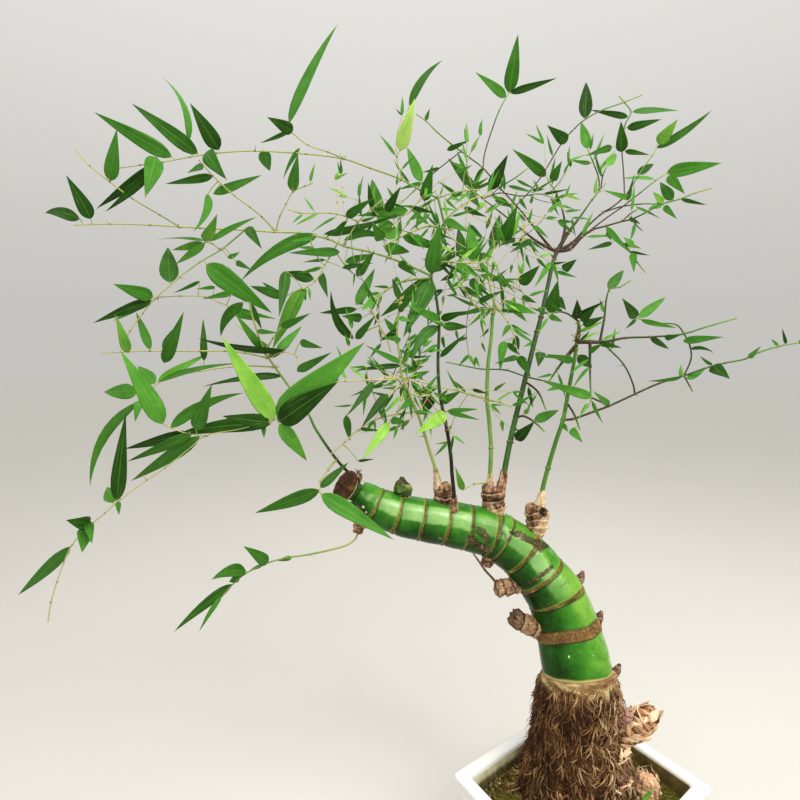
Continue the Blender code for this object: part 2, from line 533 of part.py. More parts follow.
def drawn_tube(drawn, sides, extra=0.0):
    """A tube from points drawn on the sheet with near and radius, made larger all round by extra."""
    route = [on_sheet(*point[:3]) for point in drawn]
    start = (route[0] - route[1]).normalized()
    end = (route[-1] - route[-2]).normalized()
    route[0] = route[0] + start * extra
    route[-1] = route[-1] + end * extra
    return tube(route, [on_sheet_size(*point[2:]) + extra for point in drawn], sides)


def rounded_rectangle(inset, height):
    """The pot's outline at a height, drawn in from the rim's outline."""
    half_long = RIM_LONG / 2 - inset
    half_short = RIM_SHORT / 2 - inset
    corner = max(RIM_CORNER - inset * 0.15, 0.004)
    points = []
    for quarter in range(4):
        sign_long = 1 if quarter in (0, 3) else -1
        sign_short = 1 if quarter in (0, 1) else -1
        centre = (sign_long * (half_long - corner), sign_short * (half_short - corner))
        for step in range(CORNER_STEPS + 1):
            turn = math.pi / 2 * (quarter + step / CORNER_STEPS)
            along = centre[0] + corner * math.cos(turn)
            aside = centre[1] + corner * math.sin(turn)
            points.append(Vector((along * math.cos(POT_TURN) - aside * math.sin(POT_TURN),
                                  along * math.sin(POT_TURN) + aside * math.cos(POT_TURN), height)))
    return points


def loft(rings):
    """A closed shape through rings of equally many points, which run anticlockwise and rise."""
    return [point for ring in rings for point in ring], skin(len(rings), len(rings[0]), split=True)


def wall_inset(height, wall, clearance=0.0):
    """How far the pot's wall lies in from the rim's outline at a height."""
    for (low, low_inset), (high, high_inset) in zip(wall, wall[1:]):
        if min(low, high) <= height <= max(low, high):
            part = (height - low) / (high - low)
            return low_inset + (high_inset - low_inset) * part + clearance
    return wall[-1][1] + clearance


def make_pot():
    rings = [rounded_rectangle(inset, height) for height, inset in OUTER_WALL + INNER_WALL]
    pot = add_object("pot", loft(rings))
    drains = []
    for sign in (-1, 1):
        centre = Vector((math.cos(POT_TURN), math.sin(POT_TURN), 0)) * DRAIN_OUT * sign
        route = [centre - Vector((0, 0, 0.01)), centre + Vector((0, 0, 0.03))]
        drains.append(tube(route, [DRAIN_RADIUS] * 2, DRAIN_SIDES))
    apply_boolean(pot, drains, "DIFFERENCE", "EXACT")
    finish_piece(pot)


def bump(along, aside, size):
    """A smooth, repeatable unevenness between -1 and 1."""
    along, aside = along / size, aside / size
    waves = math.sin(along * 1.7 + aside * 0.9) + math.sin(aside * 2.3 - along * 1.1 + 1.3)
    return (waves + math.sin(along * 3.1 + 2.1) * math.sin(aside * 2.9 + 0.4)) / 3


def make_soil():
    """The soil, from the pot's floor to its bumpy top, with plain holes for what grows out of it."""

    def outline(height, clearance):
        return rounded_rectangle(wall_inset(height, INNER_WALL, clearance), height)

    rings = [outline(SOIL_FOOT, GAP), outline(0.060, GAP * 1.3), outline(SOIL_TOP - 0.002, GAP * 1.3)]
    edge = rings[-1]
    for row in range(1, SOIL_RINGS):
        ring = [ROOT_FOOT.lerp(place, 1 - row / SOIL_RINGS) for place in edge]
        rings.append([Vector((x, y, SOIL_TOP + SOIL_BUMP * bump(x, y, 0.011))) for x, y, _ in ring])
    soil = add_object("soil", loft(rings))
    cutters = [root_shape(GAP), drawn_tube(CUT_SHOOT, STUB_SIDES, GAP), drawn_tube(GREEN_SHOOT, 8, GAP)]
    for cutter in cutters:
        apply_boolean(soil, [cutter], "DIFFERENCE", "EXACT")
    finish_piece(soil, 60)


def root_shape(extra=0.0):
    """The root clump: plain in the soil, ridged like matted roots above it, up to the old stem's foot."""
    top = on_sheet(*TRUNK[0][:3])
    lean = (on_sheet(*TRUNK[1][:3]) - top).normalized()
    rings = []
    for row, (part, scale) in enumerate(ROOT_PROFILE):
        centre = ROOT_FOOT.lerp(top, part)
        up = Vector((0, 0, 1)).lerp(lean, part * part).normalized()
        deep = ROOT_DEEP + (ROOT_WIDE - ROOT_DEEP) * part
        ridged = 0.12 < part < 0.97
        ring = []
        for step in range(ROOT_SIDES):
            turn = math.tau * (step + ROOT_TWIST * row) / ROOT_SIDES
            swell = 1.0
            if ridged:
                strand = 1 if step % 2 else -1
                lumps = math.sin(5 * turn + 7 * part) * math.sin(3 * turn + 1.0)
                swell += ROOT_RIDGE * (0.9 * strand + lumps)
            x = (ROOT_WIDE * scale * swell + extra) * math.cos(turn)
            y = (deep * scale * swell + extra) * math.sin(turn)
            ring.append(centre + Vector((x, y, -(x * up.x + y * up.y) / up.z)))
        rings.append(ring)
    rings[0] = [point - Vector((0, 0, extra)) for point in rings[0]]
    rings[-1] = [point + lean * extra for point in rings[-1]]
    return loft(rings)


def trunk_shape(extra=0.0):
    """The old stem, with a low ridge and groove round it at each joint."""
    middle = [on_sheet(*point[:3]) for point in TRUNK]
    route, radii, ways = [], [], []
    for index, place in enumerate(middle):
        way = (middle[min(index + 1, len(middle) - 1)] - middle[max(index - 1, 0)]).normalized()
        steps = JOINT_STEPS if TRUNK[index][:2] in TRUNK_JOINTS else [(0.0, 0.0)]
        for ahead, raised in steps:
            route.append(place + way * ahead * MM)
            radii.append(on_sheet_size(*TRUNK[index][2:]) + raised * MM + extra)
            ways.append(way)
    route[0] += ways[0] * (GAP - extra)
    route[-1] += ways[-1] * extra
    return tube(route, radii, TRUNK_SIDES, ways)


def thinned(route):
    """A twig's route without the points that lie close to the line between their neighbours."""
    kept = [route[0]]
    for index in range(1, len(route) - 1):
        here, before, beyond = (Vector(point) for point in (route[index], kept[-1], route[index + 1]))
        run = beyond - before
        aside = abs(run.cross(here - before)) / run.length
        if aside > THIN_SLACK or (here - before).length > THIN_LONGEST:
            kept.append(route[index])
    return kept + [route[-1]]


class Shoot:
    """A culm or twig: its route on the sheet with near and radius at each point."""

    def __init__(self, route, near, radius):
        runs = [0.0]
        for here, beyond in zip(route, route[1:]):
            runs.append(runs[-1] + math.dist(here, beyond))
        self.drawn = []
        for (across, down), run in zip(route, runs):
            part = run / runs[-1]
            self.drawn.append((across, down, near[0] + (near[1] - near[0]) * part,
                               radius[0] + (radius[1] - radius[0]) * part))

    def closest(self, across, down):
        """How far the route's nearest place is on the sheet, and that place, a little short of the tip."""
        best = None
        for index, (here, beyond) in enumerate(zip(self.drawn, self.drawn[1:])):
            run = (beyond[0] - here[0], beyond[1] - here[1])
            part = ((across - here[0]) * run[0] + (down - here[1]) * run[1]) / (run[0] ** 2 + run[1] ** 2)
            last = 1.0 if index < len(self.drawn) - 2 else 1.0 - TIP_SHORT / math.hypot(*run)
            part = min(max(part, 0.0), last)
            place = [a + (b - a) * part for a, b in zip(here, beyond)]
            # A straight line's depth runs evenly in 1 / depth across the sheet
            inverse = (1 - part) / (SHEET_AWAY - here[2]) + part / (SHEET_AWAY - beyond[2])
            place[2] = SHEET_AWAY - 1 / inverse
            away = math.dist(place[:2], (across, down))
            if best is None or away < best[0]:
                best = (away, place)
        return best


def nearest_place(shoots, across, down):
    return min((shoot.closest(across, down) for shoot in shoots), key=lambda found: found[0])[1]


def grow_shoots(stem):
    """A stem's culm and twigs. Each twig starts on the nearest shoot before it."""
    culm = Shoot(stem["culm"], stem["near"], stem["radius"])
    culm.drawn.insert(0, (*stem["foot"], stem["radius"][0]))
    for index, point in enumerate(culm.drawn):
        if point[:2] in stem["joints"]:
            culm.drawn[index] = (*point[:3], point[3] * SWELL)
    shoots = [culm]
    for reach, route in stem["twigs"]:
        root = nearest_place(shoots, *route[0])
        thick = min(root[3] * TWIG_TO_SHOOT, TWIG_THICKEST)
        thin = max(thick * TWIG_TAPER, TWIG_THINNEST)
        path = thinned([tuple(root[:2])] + route[1:])
        shoots.append(Shoot(path, (root[2], root[2] + reach), (thick, thin)))
    return shoots


def blade_ring(centre, side, face, half, thick, corners):
    """The points round a blade: a low ridge on a flat back, or a fold for a large leaf."""
    if corners == 3:
        return [centre + side * half, centre - side * half, centre + face * thick]
    raised = half * LEAF_FOLD if half > NECK else 0.0
    return [centre + side * half + face * raised, centre - face * thick / 2,
            centre - side * half + face * raised, centre + face * thick / 2]


def blade(petiole, base, tip, width, roll, bow, thick):
    """A slightly arched leaf blade with its petiole, split into triangles alike on both faces."""
    along = (tip - base).normalized()
    toward = (EYE - base).normalized()
    side = along.cross(toward).normalized()
    face = side.cross(along)
    side, face = side * math.cos(roll) + face * math.sin(roll), face * math.cos(roll) - side * math.sin(roll)
    length = (tip - base).length
    corners = 3 if length < SHORT_LEAF else 4
    stations = next(given for longest, given in BLADE_STATIONS if length < longest)
    stalk = (base.lerp(tip, stations[0][0] / 2) - petiole).normalized()
    petiole = petiole - stalk * NECK
    stalk_long = (base - petiole).length
    rings = [] if stalk_long < LONGEST_NECK else [(petiole, stalk, NECK, NECK * 2)]
    if stalk_long > LONGEST_PLAIN_STALK:
        rings.append((base, stalk + along, NECK, NECK * 2))
    for part, share in stations:
        hump = part * (1 - part)
        centre = base.lerp(tip, part) + bow * (4 * hump) + face * (length * BLADE_ARCH * hump)
        rings.append((centre, along, width / 2 * share, thick))
    points = []
    for centre, way, half, deep in rings:
        turn = along.rotation_difference(way)
        points += blade_ring(centre, turn @ side, turn @ face, half, deep, corners)
    faces = []
    for here in range(0, len(points) - corners, corners):
        for step in range(corners):
            a = here + step
            b = here + (step + 1) % corners
            c, d = a + corners, b + corners
            faces += [(a, b, c), (b, d, c)] if step % 2 else [(a, b, d), (a, d, c)]
    last = len(points)
    points.append(tip)
    faces += [(last - corners + step, last - corners + (step + 1) % corners, last) for step in range(corners)]
    if stalk_long < LONGEST_NECK:
        points.append(petiole)
        faces += [((step + 1) % corners, step, last + 1) for step in range(corners)]
    else:
        faces += [(2, 1, 0), (3, 2, 0)][:corners - 2]
    return points, faces


def leaf_place(leaf, shoots, draw):
    """Work out where a leaf's petiole, base and tip lie, its true width, its roll and its bow."""
    across, down, tip_across, tip_down, wide, bow, rise = leaf + (0, None)[len(leaf) - 5:]
    root = nearest_place(shoots, across + draw.uniform(-ROOT_SPREAD, ROOT_SPREAD),
                         down + draw.uniform(-ROOT_SPREAD, ROOT_SPREAD))
    length = math.dist((across, down), (tip_across, tip_down))
    full = wide / WIDEST_TO_LENGTH
    if rise is None:
        if full > length * 1.05:
            rise = min(math.sqrt(full ** 2 - length ** 2), RISE_LIMIT)
        else:
            rise = length * draw.uniform(0.05, 0.25)
        if draw.random() < 0.4:
            rise = -rise
    true_wide = max(wide, length * WIDEST_TO_LENGTH * 0.9)
    roll = math.acos(min(wide / true_wide, 1.0)) + draw.uniform(-0.15, 0.15)
    if draw.random() < 0.5:
        roll = -roll
    return root, (across, down), (tip_across, tip_down), true_wide, roll, bow, rise


def set_leaf(placed, change, thick, margin=0.0):
    """The leaf's shape, its tip brought nearer by change, made larger by margin to test what it clears."""
    root, base, tip, wide, roll, bow, rise = placed
    scale = on_sheet_size(root[2], 1.0)
    length = math.dist(base, tip)
    left = ((tip[1] - base[1]) / length, -(tip[0] - base[0]) / length)
    shift = (RIGHT * left[0] - UP * left[1]) * bow * scale
    return blade(on_sheet(*root[:3]), on_sheet(*base, root[2]), on_sheet(*tip, root[2] + rise + change),
                 wide * scale + margin, roll, shift, thick + margin)


def tree_of(shape):
    return BVHTree.FromPolygons([tuple(point) for point in shape[0]], shape[1])


class Space:
    """What is already taken by other pieces, so that leaves can be bent clear of it."""

    def __init__(self):
        self.taken = []

    def add(self, owner, shape):
        low = [min(point[k] for point in shape[0]) for k in range(3)]
        high = [max(point[k] for point in shape[0]) for k in range(3)]
        self.taken.append((owner, low, high, tree_of(shape)))

    def is_clear(self, owner, shape):
        low = [min(point[k] for point in shape[0]) for k in range(3)]
        high = [max(point[k] for point in shape[0]) for k in range(3)]
        mine = None
        for other, other_low, other_high, tree in self.taken:
            if other == owner or any(low[k] > other_high[k] or high[k] < other_low[k] for k in range(3)):
                continue
            mine = mine or tree_of(shape)
            if mine.overlap(tree):
                return False
        return True


def spine_shapes(shoots, draw):
    """Short straight spines at the joints and bends of a stem, spread evenly over its whole length."""
    shapes = []
    for shoot in shoots:
        run = SPINE_APART * draw.uniform(0.3, 0.8)
        for before, place in zip(shoot.drawn, shoot.drawn[1:-1]):
            run += math.dist(before[:2], place[:2])
            if run < SPINE_APART:
                continue
            run -= SPINE_APART
            centre = on_sheet(*place[:3])
            way = Vector((draw.uniform(-1, 1), draw.uniform(-1, 0.6), draw.uniform(-0.4, 1.0))).normalized()
            tip = centre + way * (SPINE_LONG + place[3]) * MM
            shapes.append(tube([centre, tip], [SPINE_WIDE * MM, 0.0001], 3))
    return shapes


def shoot_shape(shoot, sides):
    return drawn_tube(shoot.drawn, sides)


def make_stems(space):
    """Every leafy stem as one body: culm, twigs, spines and leaves, the leaves bent clear of other stems."""
    grown = {name: grow_shoots(stem) for name, stem in STEMS.items()}
    for name, shoots in grown.items():
        for index, shoot in enumerate(shoots):
            space.add(name, shoot_shape(shoot, CULM_SIDES if index == 0 else TWIG_SIDES))
    for name, stem in STEMS.items():
        draw = random.Random(name)
        shoots = grown[name]
        shapes = [shoot_shape(shoot, TWIG_SIDES) for shoot in shoots[1:]]
        for spine in spine_shapes(shoots, draw):
            if space.is_clear(name, spine):
                shapes.append(spine)
                space.add(name, spine)
        for leaf in stem["leaves"]:
            placed = leaf_place(leaf, shoots, draw)
            for change in CLEAR_STEPS:
                if space.is_clear(name, set_leaf(placed, change, LEAF_THICK, CLEAR_MARGIN)):
                    shape = set_leaf(placed, change, LEAF_THICK)
                    space.add(name, shape)
                    shapes.append(shape)
                    break
        made = add_object(name, shoot_shape(shoots[0], CULM_SIDES))
        apply_boolean(made, shapes, "UNION", "MANIFOLD")
        finish_piece(made, 35)


def foot_cutter(name):
    """A socket for a stem's foot: the first stretch of its culm, made larger by the gap."""
    culm = grow_shoots(STEMS[name])[0]
    return drawn_tube(culm.drawn[:3], CULM_SIDES, GAP)


def make_old_stem(space):
    """The root clump, the old stem, its cut end, and the stubs and buds that sit on it."""
    cutters = {}
    for name, seat in SOCKETS.items():
        cutters.setdefault(seat, []).append(foot_cutter(name))
    trunk = trunk_shape()
    wide_trunk = trunk_shape(GAP)
    root = root_shape()
    pieces = {"root_mass": (root, []), "trunk": (trunk, cutters["trunk"]),
              "cut_end": (drawn_tube(CUT_END, 14), [wide_trunk]),
              "bud_root": (drawn_tube(BUD_ROOT, STUB_SIDES), [root_shape(GAP)]),
              "cut_shoot": (drawn_tube(CUT_SHOOT, STUB_SIDES), [root_shape(GAP)]),
              "green_shoot": (drawn_tube(GREEN_SHOOT, 8), [])}
    for name, drawn in STUBS.items():
        pieces[name] = (drawn_tube(drawn, STUB_SIDES), [wide_trunk] + cutters.get(name, []))
    pieces["stub_right"][1].append(drawn_tube(CUT_HOLE, 10))
    pieces["bud_lower"][1].append(root_shape(GAP))
    extras = {"stub_lower": drawn_tube(LOWER_TWIG, 5), "cut_end": drawn_tube(END_TUFT, 7)}
    for name, (shape, holes) in pieces.items():
        made = add_object(name, shape)
        if name in extras:
            apply_boolean(made, [extras[name]], "UNION", "MANIFOLD")
            space.add(name, extras[name])
        for hole in holes:
            apply_boolean(made, [hole], "DIFFERENCE", "EXACT")
        finish_piece(made)
        space.add(name, shape)


def main():
    for old in list(bpy.data.objects):
        bpy.data.objects.remove(old, do_unlink=True)
    make_pot()
    make_soil()
    space = Space()
    make_old_stem(space)
    make_stems(space)


main()
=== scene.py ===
import math
import random

import bpy
import numpy as np
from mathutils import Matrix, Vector, noise
from mathutils.kdtree import KDTree


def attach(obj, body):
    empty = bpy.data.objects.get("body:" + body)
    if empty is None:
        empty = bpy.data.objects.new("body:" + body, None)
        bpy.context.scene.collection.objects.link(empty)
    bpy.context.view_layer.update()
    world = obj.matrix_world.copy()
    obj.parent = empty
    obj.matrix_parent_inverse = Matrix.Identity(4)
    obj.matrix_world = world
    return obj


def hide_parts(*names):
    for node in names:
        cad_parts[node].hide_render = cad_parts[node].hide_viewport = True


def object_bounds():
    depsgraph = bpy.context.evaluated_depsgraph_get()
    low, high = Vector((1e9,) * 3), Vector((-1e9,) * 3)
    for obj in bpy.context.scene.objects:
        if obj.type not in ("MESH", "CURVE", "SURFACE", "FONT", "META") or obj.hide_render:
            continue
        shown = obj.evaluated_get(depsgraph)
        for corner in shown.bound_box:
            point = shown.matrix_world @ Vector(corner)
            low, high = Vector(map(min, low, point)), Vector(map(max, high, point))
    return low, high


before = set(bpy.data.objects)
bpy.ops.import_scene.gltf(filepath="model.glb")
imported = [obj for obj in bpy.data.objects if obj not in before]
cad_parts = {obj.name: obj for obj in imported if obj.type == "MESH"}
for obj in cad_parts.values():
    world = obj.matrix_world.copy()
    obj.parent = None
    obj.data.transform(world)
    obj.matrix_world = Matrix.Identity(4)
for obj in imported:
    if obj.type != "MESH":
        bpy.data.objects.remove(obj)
cadLow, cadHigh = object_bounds()
print("frame loaded:", len(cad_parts), "solids")

mm = 0.001

# The drawing sheet: an upright plane at the old stem's depth, drawn in millimetres across and down,
# seen from the eye. A point can be brought nearer than the sheet.
view = {
    "eye": Vector((-0.190, -0.459, 0.555)), "lookDown": math.radians(4.8), "sheetAway": 470.0, "sheetMiddle": 400.0,
}
rightWay = Vector((1, 0, 0))
aheadWay = Vector((0, math.cos(view["lookDown"]), -math.sin(view["lookDown"])))
upWay = Vector((0, math.sin(view["lookDown"]), math.cos(view["lookDown"])))


def onSheet(across, down, near=0.0):
    depth = view["sheetAway"] - near
    aside = rightWay * (across - view["sheetMiddle"]) + upWay * (view["sheetMiddle"] - down)
    return view["eye"] + mm * (aheadWay * depth + aside * depth / view["sheetAway"])


def sizeAt(near, size):
    return size * mm * (view["sheetAway"] - near) / view["sheetAway"]


# Maths on sockets, and the one way to add a node


class Wire:
    def __init__(self, graph, socket):
        self.graph = graph
        self.socket = socket

    def maths(self, operation, *values):
        return self.graph.node("ShaderNodeMath", {"operation": operation}, dict(enumerate(values)))

    def __add__(self, other):
        return self.maths("ADD", self, other)

    __radd__ = __add__

    def __sub__(self, other):
        return self.maths("SUBTRACT", self, other)

    def __rsub__(self, other):
        return self.maths("SUBTRACT", other, self)

    def __mul__(self, other):
        return self.maths("MULTIPLY", self, other)

    __rmul__ = __mul__

    def __abs__(self):
        return self.maths("ABSOLUTE", self)

    def sine(self):
        return self.maths("SINE", self)

    def most(self, other):
        return self.maths("MINIMUM", self, other)

    def least(self, other):
        return self.maths("MAXIMUM", self, other)

    def rise(self, low, high):  # 0 below low, 1 above high, smooth between; low above high falls
        settings = {"interpolation_type": "SMOOTHSTEP"}
        if low < high:
            return self.graph.node("ShaderNodeMapRange", settings, {"Value": self, 1: low, 2: high})
        return 1.0 - self.graph.node("ShaderNodeMapRange", settings, {"Value": self, 1: high, 2: low})


class Graph:
    def __init__(self, tree):
        self.tree = tree

    def node(self, kind, settings=None, values=None, out=0):
        made = self.tree.nodes.new(kind)
        for name, value in (settings or {}).items():
            if name == "stops":
                stops = made.color_ramp.elements
                stops[0].position, stops[1].position = value[0][0], value[-1][0]
                stops[0].color, stops[1].color = (*value[0][1], 1), (*value[-1][1], 1)
                for place, colour in value[1:-1]:
                    stops.new(place).color = (*colour, 1)
            else:
                setattr(made, name, value)
        for key, value in (values or {}).items():
            if isinstance(value, Wire):
                self.tree.links.new(value.socket, made.inputs[key])
            else:
                made.inputs[key].default_value = value
        return Wire(self, made.outputs[out]) if len(made.outputs) else made

    def mix(self, factor, first, second, how="MIX"):
        first, second = ((*colour, 1) if isinstance(colour, tuple) else colour for colour in (first, second))
        return self.node("ShaderNodeMix", {"data_type": "RGBA", "blend_type": how, "clamp_factor": True},
            {0: factor, 6: first, 7: second}, 2)

    def ramp(self, factor, stops):
        return self.node("ShaderNodeValToRGB", {"stops": stops}, {0: factor})

    def attribute(self, name):
        return self.node("ShaderNodeAttribute", {"attribute_name": name}, out="Fac")

    def spots(self, scale, detail=3.0, stretch=(1, 1, 1)):  # soft noise over the object's own coordinates
        place = self.node("ShaderNodeTexCoord", out="Object")
        if stretch != (1, 1, 1):
            place = self.node("ShaderNodeMapping", values={"Vector": place, "Scale": stretch})
        return self.node("ShaderNodeTexNoise", values={"Vector": place, "Scale": scale, "Detail": detail,
            "Roughness": 0.55})


class Paint(Graph):
    def __init__(self, name, **constants):
        self.material = bpy.data.materials.new(name)
        self.material.use_nodes = True
        super().__init__(self.material.node_tree)
        self.shader = self.tree.nodes["Principled BSDF"]
        for key, value in constants.items():
            self.shader.inputs[key.replace("_", " ")].default_value = value

    def feed(self, socket, value):
        self.tree.links.new(value.socket, self.shader.inputs[socket])

    def relief(self, height, depth, strength):
        self.feed("Normal", self.node("ShaderNodeBump", values={"Height": height, "Distance": depth,
            "Strength": strength}))


# Geometry Nodes: a round or flat skin along paths, and a scatter over a surface


def newTree(name, inputs):
    tree = bpy.data.node_groups.new(name, "GeometryNodeTree")
    tree.interface.new_socket("Geometry", in_out="INPUT", socket_type="NodeSocketGeometry")
    for label, kind in inputs:
        tree.interface.new_socket(label, in_out="INPUT", socket_type="NodeSocket" + kind)
    tree.interface.new_socket("Geometry", in_out="OUTPUT", socket_type="NodeSocketGeometry")
    graph = Graph(tree)
    start = tree.nodes.new("NodeGroupInput")
    given = {socket.name: Wire(graph, socket) for socket in start.outputs if socket.name}
    return graph, given


def closeTree(graph, shape, material, smooth=True):
    shape = graph.node("GeometryNodeRealizeInstances", values={"Geometry": shape})
    shape = graph.node("GeometryNodeSetShadeSmooth", values={"Geometry": shape, "Shade Smooth": smooth})
    shape = graph.node("GeometryNodeSetMaterial", values={"Geometry": shape, "Material": material})
    end = graph.tree.nodes.new("NodeGroupOutput")
    graph.tree.links.new(shape.socket, end.inputs[0])
    return graph.tree


def named(graph, name, kind="FLOAT"):
    return graph.node("GeometryNodeInputNamedAttribute", {"data_type": kind}, {"Name": name})


def makeSkinTree(name, flat):
    graph, given = newTree(name, [("Sides", "Int"), ("Thickness", "Float"), ("Fold", "Float"),
        ("Material", "Material")])
    path = graph.node("GeometryNodeMeshToCurve", values={"Mesh": given["Geometry"]})
    if flat:
        path = graph.node("GeometryNodeSetCurveNormal", {"mode": "FREE"},
            {"Curve": path, "Normal": named(graph, "sideways", "FLOAT_VECTOR")})
    ring = graph.node("GeometryNodeCurvePrimitiveCircle", values={"Resolution": given["Sides"], "Radius": 1.0})
    place = graph.node("GeometryNodeInputPosition")
    parts = graph.node("ShaderNodeSeparateXYZ", values={0: place}).socket.node
    x, y = Wire(graph, parts.outputs[0]), Wire(graph, parts.outputs[1])
    ring = graph.node("GeometryNodeStoreNamedAttribute", {"data_type": "FLOAT", "domain": "POINT"},
        {"Geometry": ring, "Name": "across", "Value": x})
    height = y * given["Thickness"] + abs(x) * given["Fold"]
    ring = graph.node("GeometryNodeSetPosition", values={"Geometry": ring, "Position": graph.node(
        "ShaderNodeCombineXYZ", values={0: x, 1: height})})
    skin = graph.node("GeometryNodeCurveToMesh", values={"Curve": path, "Profile Curve": ring, "Fill Caps": True,
        "Scale": named(graph, "half")})
    return closeTree(graph, skin, given["Material"])


def makeScatterTree(name, form):
    graph, given = newTree(name, [("Density", "Float"), ("Patches", "Float"), ("Smallest", "Float"),
        ("Largest", "Float"), ("Seed", "Int"), ("Material", "Material")])
    up = graph.node("ShaderNodeSeparateXYZ", values={0: graph.node("GeometryNodeInputNormal")}, out=2)
    place = graph.node("GeometryNodeInputPosition")
    patches = graph.node("ShaderNodeTexNoise", values={"Vector": place, "Scale": given["Patches"], "Detail": 2.0})
    share = patches.rise(0.42, 0.60) * up.rise(0.55, 0.75)
    points = graph.node("GeometryNodeDistributePointsOnFaces",
        values={"Mesh": given["Geometry"], "Density": given["Density"] * share, "Seed": given["Seed"]})
    facing = Wire(graph, points.socket.node.outputs["Rotation"])
    turn = graph.node("FunctionNodeRandomValue", {"data_type": "FLOAT_VECTOR"},
        {0: form["leanLow"], 1: form["leanHigh"], "Seed": 5})
    turn = graph.node("FunctionNodeEulerToRotation", values={0: turn})
    turn = graph.node("FunctionNodeRotateRotation", values={0: facing, 1: turn})
    size = graph.node("FunctionNodeRandomValue", {"data_type": "FLOAT"},
        {2: given["Smallest"], 3: given["Largest"], "Seed": given["Seed"]}, out=1)
    size = graph.node("ShaderNodeVectorMath", {"operation": "SCALE"}, {0: form["shape"], "Scale": size})
    bit = graph.node(form["kind"], values=form["values"])
    if form["rough"]:
        shift = graph.node("ShaderNodeTexNoise", values={"Vector": graph.node("GeometryNodeInputPosition"),
            "Scale": 1.4},
            out=1)
        shift = graph.node("ShaderNodeVectorMath", {"operation": "SUBTRACT"}, {0: shift, 1: (0.5, 0.5, 0.5)})
        bit = graph.node("GeometryNodeSetPosition", values={"Geometry": bit, "Offset": shift})
    bits = graph.node("GeometryNodeInstanceOnPoints", values={"Points": points, "Instance": bit, "Rotation": turn,
        "Scale": size})
    tone = graph.node("FunctionNodeRandomValue", {"data_type": "FLOAT"}, {"Seed": 11}, out=1)
    bits = graph.node("GeometryNodeStoreNamedAttribute", {"data_type": "FLOAT", "domain": "INSTANCE"},
        {"Geometry": bits, "Name": "tone", "Value": tone})
    return closeTree(graph, bits, given["Material"], smooth=form["smooth"])


def grown(name, source, tree, **inputs):  # runs a tree on a mesh and keeps the plain result
    holder = bpy.data.objects.new(name, source)
    bpy.context.scene.collection.objects.link(holder)
    step = holder.modifiers.new("grow", "NODES")
    step.node_group = tree
    for item in tree.interface.items_tree:
        if item.item_type == "SOCKET" and item.in_out == "INPUT" and item.name in inputs:
            step[item.identifier] = inputs[item.name]
    bpy.context.view_layer.update()
    result = bpy.data.meshes.new_from_object(holder.evaluated_get(bpy.context.evaluated_depsgraph_get()))
    holder.modifiers.clear()
    holder.data = result
    return holder


def pathMesh(name, paths):  # each path: points, and lists of the values along it
    mesh = bpy.data.meshes.new(name)
    points = np.concatenate([path["points"] for path in paths])
    edges, start = [], 0
    for path in paths:
        count = len(path["points"])
        edges += [(start + k, start + k + 1) for k in range(count - 1)]
        start += count
    mesh.from_pydata(points.tolist(), edges, [])
    for key in paths[0]:
        if key == "points":
            continue
        values = np.concatenate([np.broadcast_to(path[key], (len(path["points"]),) + np.shape(path[key])[1:])
            for path in paths]).astype(np.float32)
        layer = mesh.attributes.new(key, "FLOAT_VECTOR" if values.ndim == 2 else "FLOAT", "POINT")
        layer.data.foreach_set("vector" if values.ndim == 2 else "value", values.ravel())
    return mesh


def settle(piece, slot, *nodes):  # a finished piece rides on the one body and stands for its nodes
    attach(piece, "root")
    if nodes:
        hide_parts(*nodes)
    return piece


# Shapes by rings


def smoothRows(rows, spacing):  # a smooth curve through the first three columns, the others run straight
    rows = np.array(rows, float)
    out, knots = [], [0]
    for index in range(len(rows) - 1):
        before, here, beyond, after = (rows[min(max(index + k, 0), len(rows) - 1)] for k in (-1, 0, 1, 2))
        run = np.linalg.norm(beyond[:3] - here[:3])
        leave = (beyond[:3] - before[:3]) * run / (run + np.linalg.norm(here[:3] - before[:3]))
        arrive = (after[:3] - here[:3]) * run / (run + np.linalg.norm(after[:3] - beyond[:3]))
        steps = max(1, math.ceil(run / spacing))
        for t in np.arange(steps) / steps:
            place = ((2 * t ** 3 - 3 * t ** 2 + 1) * here[:3] + (t ** 3 - 2 * t ** 2 + t) * leave
                + (3 * t ** 2 - 2 * t ** 3) * beyond[:3] + (t ** 3 - t ** 2) * arrive)
            out.append(np.concatenate([place, here[3:] * (1 - t) + beyond[3:] * t]))
        knots.append(len(out))
    out.append(rows[-1])
    return np.array(out), knots


def lengthsOf(points):
    return np.concatenate([[0.0], np.cumsum(np.linalg.norm(np.diff(points[:, :3], axis=0), axis=1))])


def ringFrames(points):  # side and upright of each ring, turned as little as possible
    ways = np.gradient(points[:, :3], axis=0)
    ways /= np.linalg.norm(ways, axis=1)[:, None]
    side = np.array(Vector(ways[0]).orthogonal().normalized())
    sides = []
    for way in ways:
        side = side - way * side.dot(way)
        side /= np.linalg.norm(side)
        sides.append(side)
    sides = np.array(sides)
    return ways, sides, np.cross(ways, sides)


